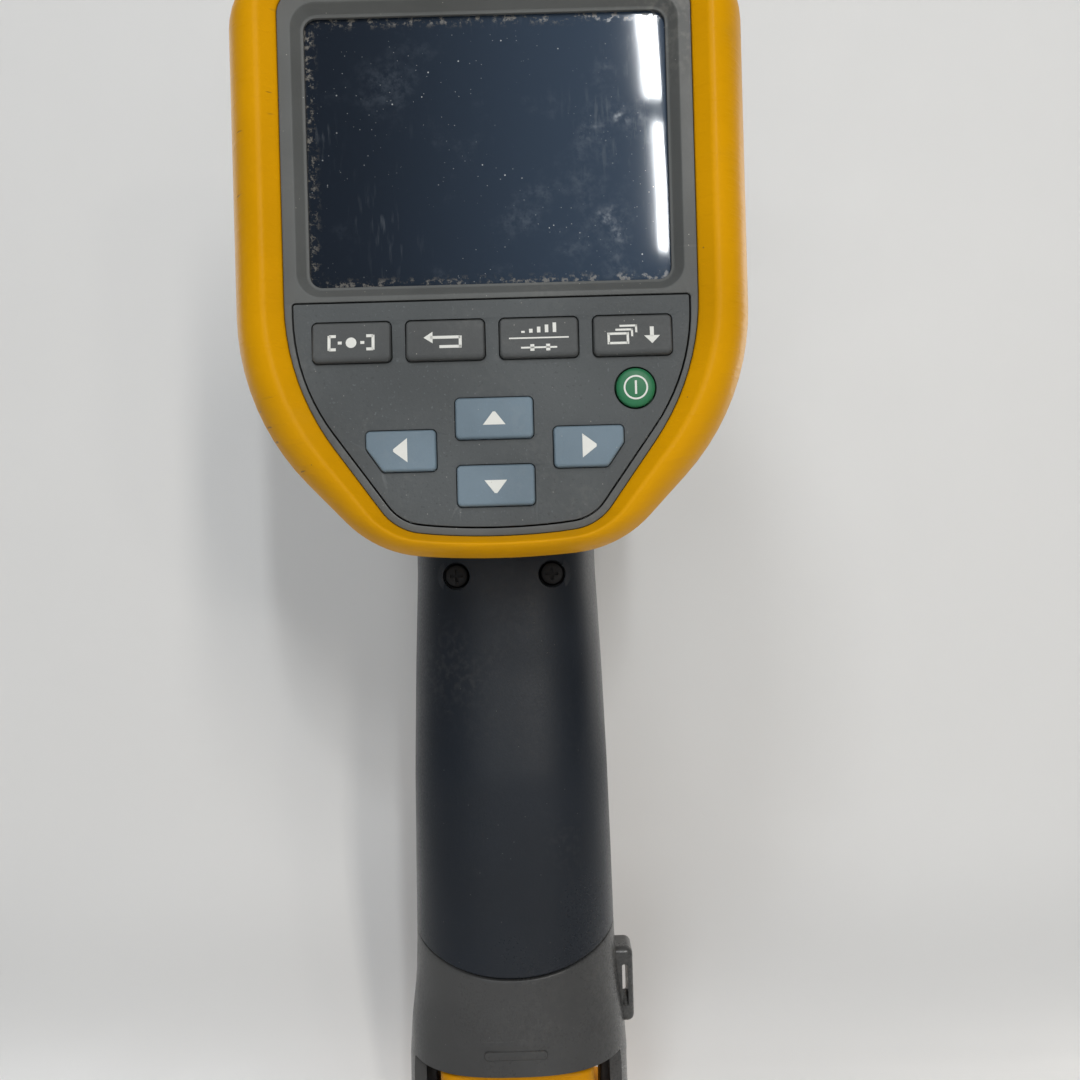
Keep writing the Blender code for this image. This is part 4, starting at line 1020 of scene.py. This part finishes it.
def front_housing():
    rear_y, shoulder_y = BACK_Y + 9.8, BUMPER_FRONT_Y + GAP
    start = inset(OUTER, 1.5)
    edge_y = shoulder_y + 1.2
    outside = walls(OUTER, [(3.8, rear_y), (3.8, shoulder_y), (2.05, shoulder_y), (1.75, shoulder_y + 0.25),
                            (1.58, shoulder_y + 0.7), (1.5, edge_y)])
    for share in (0.15, 0.3, 0.45, 0.6, 0.75, 0.9, 0.97):
        outside.append(upright(blend(start, MIDDLE, share), edge_y + (MIDDLE_Y - shoulder_y - 1.2) * share))
    for share, y in ((0.02, 29.2), (0.08, 31.6), (0.2, 35.6), (0.5, 46.0), (0.72, 52.1), (0.86, 56.3),
                     (0.93, 58.5), (0.975, 60.0)):
        outside.append(upright(blend(MIDDLE, NOSE, share), y))
    outside += walls(NOSE, [(0.25, 60.8), (0.9, 61.5), (1.8, 61.9), (3.0, NOSE_FACE_Y)])
    inside = walls(NOSE, [(4.5, NOSE_FACE_Y - 2.6)]) + walls(blend(MIDDLE, NOSE, 0.5), [(2.6, 45.0)])
    inside += walls(MIDDLE, [(2.6, 27.0)]) + walls(OUTER, [(6.2, shoulder_y + 6.0), (6.2, rear_y - 5.0)])
    shell, hollow, neck = bmesh.new(), bmesh.new(), bmesh.new()
    skin(shell, outside)
    skin(hollow, inside)
    skin(neck, handle_rings(-GAP, 140.0, 158.0))
    half_y, half_z = (DOOR_Y[1] - DOOR_Y[0]) / 2 + GAP, (DOOR_H[1] - DOOR_H[0]) / 2 + GAP
    doorway = door_frame(block((-6.0, DOOR_THICKNESS + 6.0), (-half_y, half_y), (-half_z, half_z), 0))
    tools = [hollow, rod(23.5, (0, LENS_Z), 50, 70, 96), neck, rod(4.3, (0, CAMERA_Z), 55, 66),
             rod(2.5, (LASER_X, CAMERA_Z), 55, 66), doorway,
             spun([(0.001, 61.0), (4.6, 61.0), (5.6, 62.4), (0.001, 62.4)], (0, CAMERA_Z), 48),
             spun([(0.001, 61.2), (2.8, 61.2), (3.6, 62.4), (0.001, 62.4)], (LASER_X, CAMERA_Z), 48)]
    for i in range(5):
        x = -22.0 + i * 11.0
        tools.append(block((x - 4.2, x + 4.2), (2.0, 3.1), (HEAD_BOTTOM + HEAD_HEIGHT - 4.6, 300), 0.3, 2))
    shell = carve(shell, *tools)
    piece("head_shell", shell, HOUSING, node="front_housing", angle=34)
    pane = [(0.001, 60.5), (3.6, 60.5), (3.85, 60.62), (4.0, 60.9), (4.0, 61.6), (3.8, 61.8), (0.001, 61.8)]
    window = spun(pane, (0, CAMERA_Z), 64)
    piece("camera_window", window, PLAIN_DARK, node="visible_window")


def ribbed(turn, radius, along):
    """Radius of the focus ring's grip at a turn."""
    if radius < FOCUS_RADIUS - 0.05 or not FOCUS_Y[0] + 2.2 < along < FOCUS_Y[1] - 2.2:
        return radius
    wave = 0.5 + 0.5 * math.cos(turn * 40)
    return radius - 0.75 * (1 - wave ** 0.6)


def lens_group():
    axis = (0, LENS_Z)
    low, high = FOCUS_Y
    inner, outer = 20.8, FOCUS_RADIUS
    profile = [(inner, low), (outer - 0.8, low), (outer - 0.23, low + 0.23), (outer, low + 0.8),
               (outer, low + 2.1), (outer, low + 2.4), (outer, low + 5.0),
               (outer, high - 5.0), (outer, high - 2.4), (outer, high - 2.1),
               (outer, high - 0.8), (outer - 0.23, high - 0.23), (outer - 0.8, high), (inner, high)]
    piece("focus_grip", spun(profile, axis, 480, wave=ribbed), GRIP, body="focus_ring", node="focus_ring",
          angle=50)
    r, back, front = FRONT_RING_RADIUS, FRONT_RING_BACK, FRONT_Y
    bezel = [(14.9, back), (r - 0.3, back), (r, back + 0.3), (r, back + 3.6), (r - 0.45, back + 3.9),
             (r - 0.45, back + 4.7), (r, back + 5.0), (r, front - 2),
             (r - 0.2, front - 1.1), (r - 0.75, front - 0.3),
             (r - 1.5, front), (17.9, front), (17.5, front - 0.3), (17.3, front - 1.1), (16.8, front - 1.3),
             (16.5, front - 2.6), (16.0, front - 2.8), (15.6, front - 5), (14.9, front - 6.5)]
    ring = spun(bezel, axis, 128)
    hinge_y, hinge_z = CAP_HINGE
    lugs = []
    for side in (-1, 1):
        outline = [(hinge_y - 2, hinge_z - 2, 1.9), (hinge_y + 2, hinge_z - 2, 1.9),
                   (hinge_y + 1.2, hinge_z + 5.5, 0), (hinge_y - 3, hinge_z + 5.5, 0)]
        lugs.append(plate(outline, *on_side(side, 4.8, 7.4), 0.2, [(0.9, (hinge_y, hinge_z))], facing="x"))
    piece("lens_bezel", carve(ring, *lugs, operation="UNION"), HOUSING, node="front_ring",
          angle=40)
    glass = [(0.001, front - 15), (14.6, front - 15), (14.6, front - 11)]
    turns = (math.pi / 2 * i / 16 for i in range(1, 16))
    glass += [(14.6 * math.cos(t), front - 11 + 3.2 * math.sin(t)) for t in turns]
    glass.append((0.001, front - 7.8))
    piece("front_lens", spun(glass, axis, 96), GERMANIUM, node="ir_lens", angle=40)


def lens_cap():
    hinge_y, hinge_z = CAP_HINGE
    near = 2 * hinge_y - (FRONT_Y + GAP)
    far = near - CAP_THICKNESS
    centre = (0, hinge_z - (LENS_Z - hinge_z))
    r = CAP_RADIUS
    profile = [(0.001, far + 0.5), (9.0, far + 0.5), (9.6, far + 0.1), (10.2, far), (r - 2.6, far),
               (r - 2.1, far + 0.25), (r - 1.6, far), (r - 0.8, far), (r - 0.2, far + 0.25), (r, far + 0.8),
               (r, near - 0.4), (r - 0.2, near - 0.1), (r - 0.5, near), (r - 2.2, near), (r - 2.5, near - 0.6),
               (0.001, near - 0.6)]
    cap = spun(profile, centre, 128)
    tools = [block((-4.5, 4.5), (far, near), (hinge_z - 8.0, hinge_z - 1.2), 0.3, 2),
             block((-4.5, 4.5), (far, hinge_y), (hinge_z - 1.8, hinge_z + 0.9), 0.3, 2),
             rod(2.0, CAP_HINGE, -4.5, 4.5, 40, "x")]
    cap = carve(cap, *tools, operation="UNION")
    cap = carve(cap, rod(0.9, CAP_HINGE, -9, 9, 24, "x"))
    piece("lens_cover", cap, HOUSING, body="lens_cap", node="lens_cap", angle=40)


# ---------------------------------------------------------------- stage, lights and camera

WALL_Y = 96.0


def stage_look(name, colour, see_through):
    """Pale matt surface with faint unevenness; the backdrop is not there when seen from behind."""
    look = Look(name)
    tone = look.mix(look.band(look.noise(7.0, 3.0), 0.35, 0.65), shade(colour, 0.985), colour)
    dust = look.times(look.spots(240.0, 0.03), look.band(look.noise(20.0), 0.5, 0.6))
    tone = look.mix(look.times(dust, 0.25), tone, shade(colour, 0.6))
    roughness = look.band(look.noise(30.0), 0.3, 0.7, 0.55, 0.65)
    made = look.finish(tone, roughness, look.bump(look.noise(420.0), 0.00001))
    if see_through:
        behind = look.node("ShaderNodeNewGeometry").outputs["Backfacing"]
        shadow = look.node("ShaderNodeLightPath").outputs["Is Shadow Ray"]
        clear = look.node("ShaderNodeBsdfTransparent").outputs[0]
        mixed = look.node("ShaderNodeMixShader", {0: look.math("MAXIMUM", behind, shadow),
                                                  1: look.shader.outputs[0], 2: clear}).outputs[0]
        look.feed(look.tree.nodes["Material Output"].inputs["Surface"], mixed)
    return made


def stage():
    reach, cove = 1600.0, 70.0
    colour = (0.80, 0.795, 0.785)
    bm = bmesh.new()
    signs = ((-1, -1), (1, -1), (1, 1), (-1, 1))
    bm.faces.new([bm.verts.new((a * reach, b * reach, 0)) for a, b in signs])
    bmesh.ops.scale(bm, vec=(MM, MM, MM), verts=bm.verts)
    ground = raw_object(bm, "floor")
    ground.data.materials.append(stage_look("floor_look", colour, False))
    profile = [(WALL_Y - cove + cove * math.sin(t), cove - cove * math.cos(t) + 0.15)
               for t in (math.pi / 2 * i / 24 for i in range(25))] + [(WALL_Y, reach)]
    bm = bmesh.new()
    rows = [[bm.verts.new((x, y, z)) for x in (-reach, reach)] for y, z in profile]
    for low, high in zip(rows, rows[1:]):
        bm.faces.new((low[0], low[1], high[1], high[0]))
    bmesh.ops.scale(bm, vec=(MM, MM, MM), verts=bm.verts)
    for face in bm.faces:
        if face.normal.y > 0 or face.normal.z < -0.5:
            face.normal_flip()
    mesh = bpy.data.meshes.new("backdrop")
    bm.to_mesh(mesh)
    bm.free()
    mesh.shade_smooth()
    backdrop = bpy.data.objects.new("backdrop", mesh)
    bpy.context.scene.collection.objects.link(backdrop)
    mesh.materials.append(stage_look("backdrop_look", colour, True))


def area_light(name, at, target, size, watts, colour, roll=0.0):
    light = bpy.data.lights.new(name, "AREA")
    light.shape = "RECTANGLE"
    light.size, light.size_y = size[0] * MM, size[1] * MM
    light.energy = watts
    light.color = colour
    made = bpy.data.objects.new(name, light)
    made.location = Vector(at) * MM
    facing = (Vector(at) - Vector(target)).to_track_quat("Z", "Y").to_matrix()
    made.rotation_euler = (facing @ Matrix.Rotation(roll, 3, "Z")).to_euler()
    bpy.context.scene.collection.objects.link(made)


CAMERA_AT = (8.45, -266.5, 147.8)
CAMERA_ROLL = 0.0272


def lights_and_camera():
    world = bpy.data.worlds.new("studio")
    bpy.context.scene.world = world
    world.use_nodes = True
    sky = world.node_tree.nodes["Background"]
    sky.inputs["Color"].default_value = (0.93, 0.96, 1.0, 1.0)
    sky.inputs["Strength"].default_value = 0.12
    middle = (0, 20, 150)
    area_light("tall_right", (265, -860, 500), middle, (60, 480), 2.25, (1.0, 0.96, 0.90))
    area_light("small_right", (430, -860, 245), middle, (50, 50), 0.30, (1.0, 0.94, 0.86))
    area_light("window_low", (-170, -860, 235), middle, (200, 240), 0.45, (0.90, 0.95, 1.0))
    area_light("window_high", (-190, -760, 860), middle, (200, 300), 2.2, (0.94, 0.97, 1.0))
    area_light("behind_left", (-500, 700, 500), middle, (500, 500), 3.0, (0.95, 0.97, 1.0))
    area_light("behind_right", (600, 600, 350), middle, (400, 400), 2.4, (1.0, 0.96, 0.9))
    area_light("strip_upper", (162, -1066, 712), (162, 0, 712), (48, 118), 1.7, (0.95, 0.98, 1.0), 0.08)
    area_light("strip_lower", (172, -1066, 548), (172, 0, 548), (40, 150), 1.25, (0.95, 0.98, 1.0), 0.03)
    camera = bpy.data.objects.new("camera", bpy.data.cameras.new("camera"))
    bpy.context.scene.collection.objects.link(camera)
    camera.data.lens, camera.data.sensor_width = 36.0, 36.0
    camera.data.clip_start, camera.data.clip_end = 0.01, 20.0
    c, s = math.cos(CAMERA_ROLL), math.sin(CAMERA_ROLL)
    camera.matrix_world = Matrix(((c, s, 0, CAMERA_AT[0] * MM), (0, 0, -1, CAMERA_AT[1] * MM),
                                  (-s, c, 0, CAMERA_AT[2] * MM), (0, 0, 0, 1)))
    bpy.context.scene.camera = camera
    bpy.context.scene.view_settings.view_transform = "Standard"


bumper()
rear_frame()
keypad()
rear_cover()
front_shell()
collar()
trigger()
battery()
port_door()
front_housing()
lens_group()
lens_cap()
stage()
lights_and_camera()
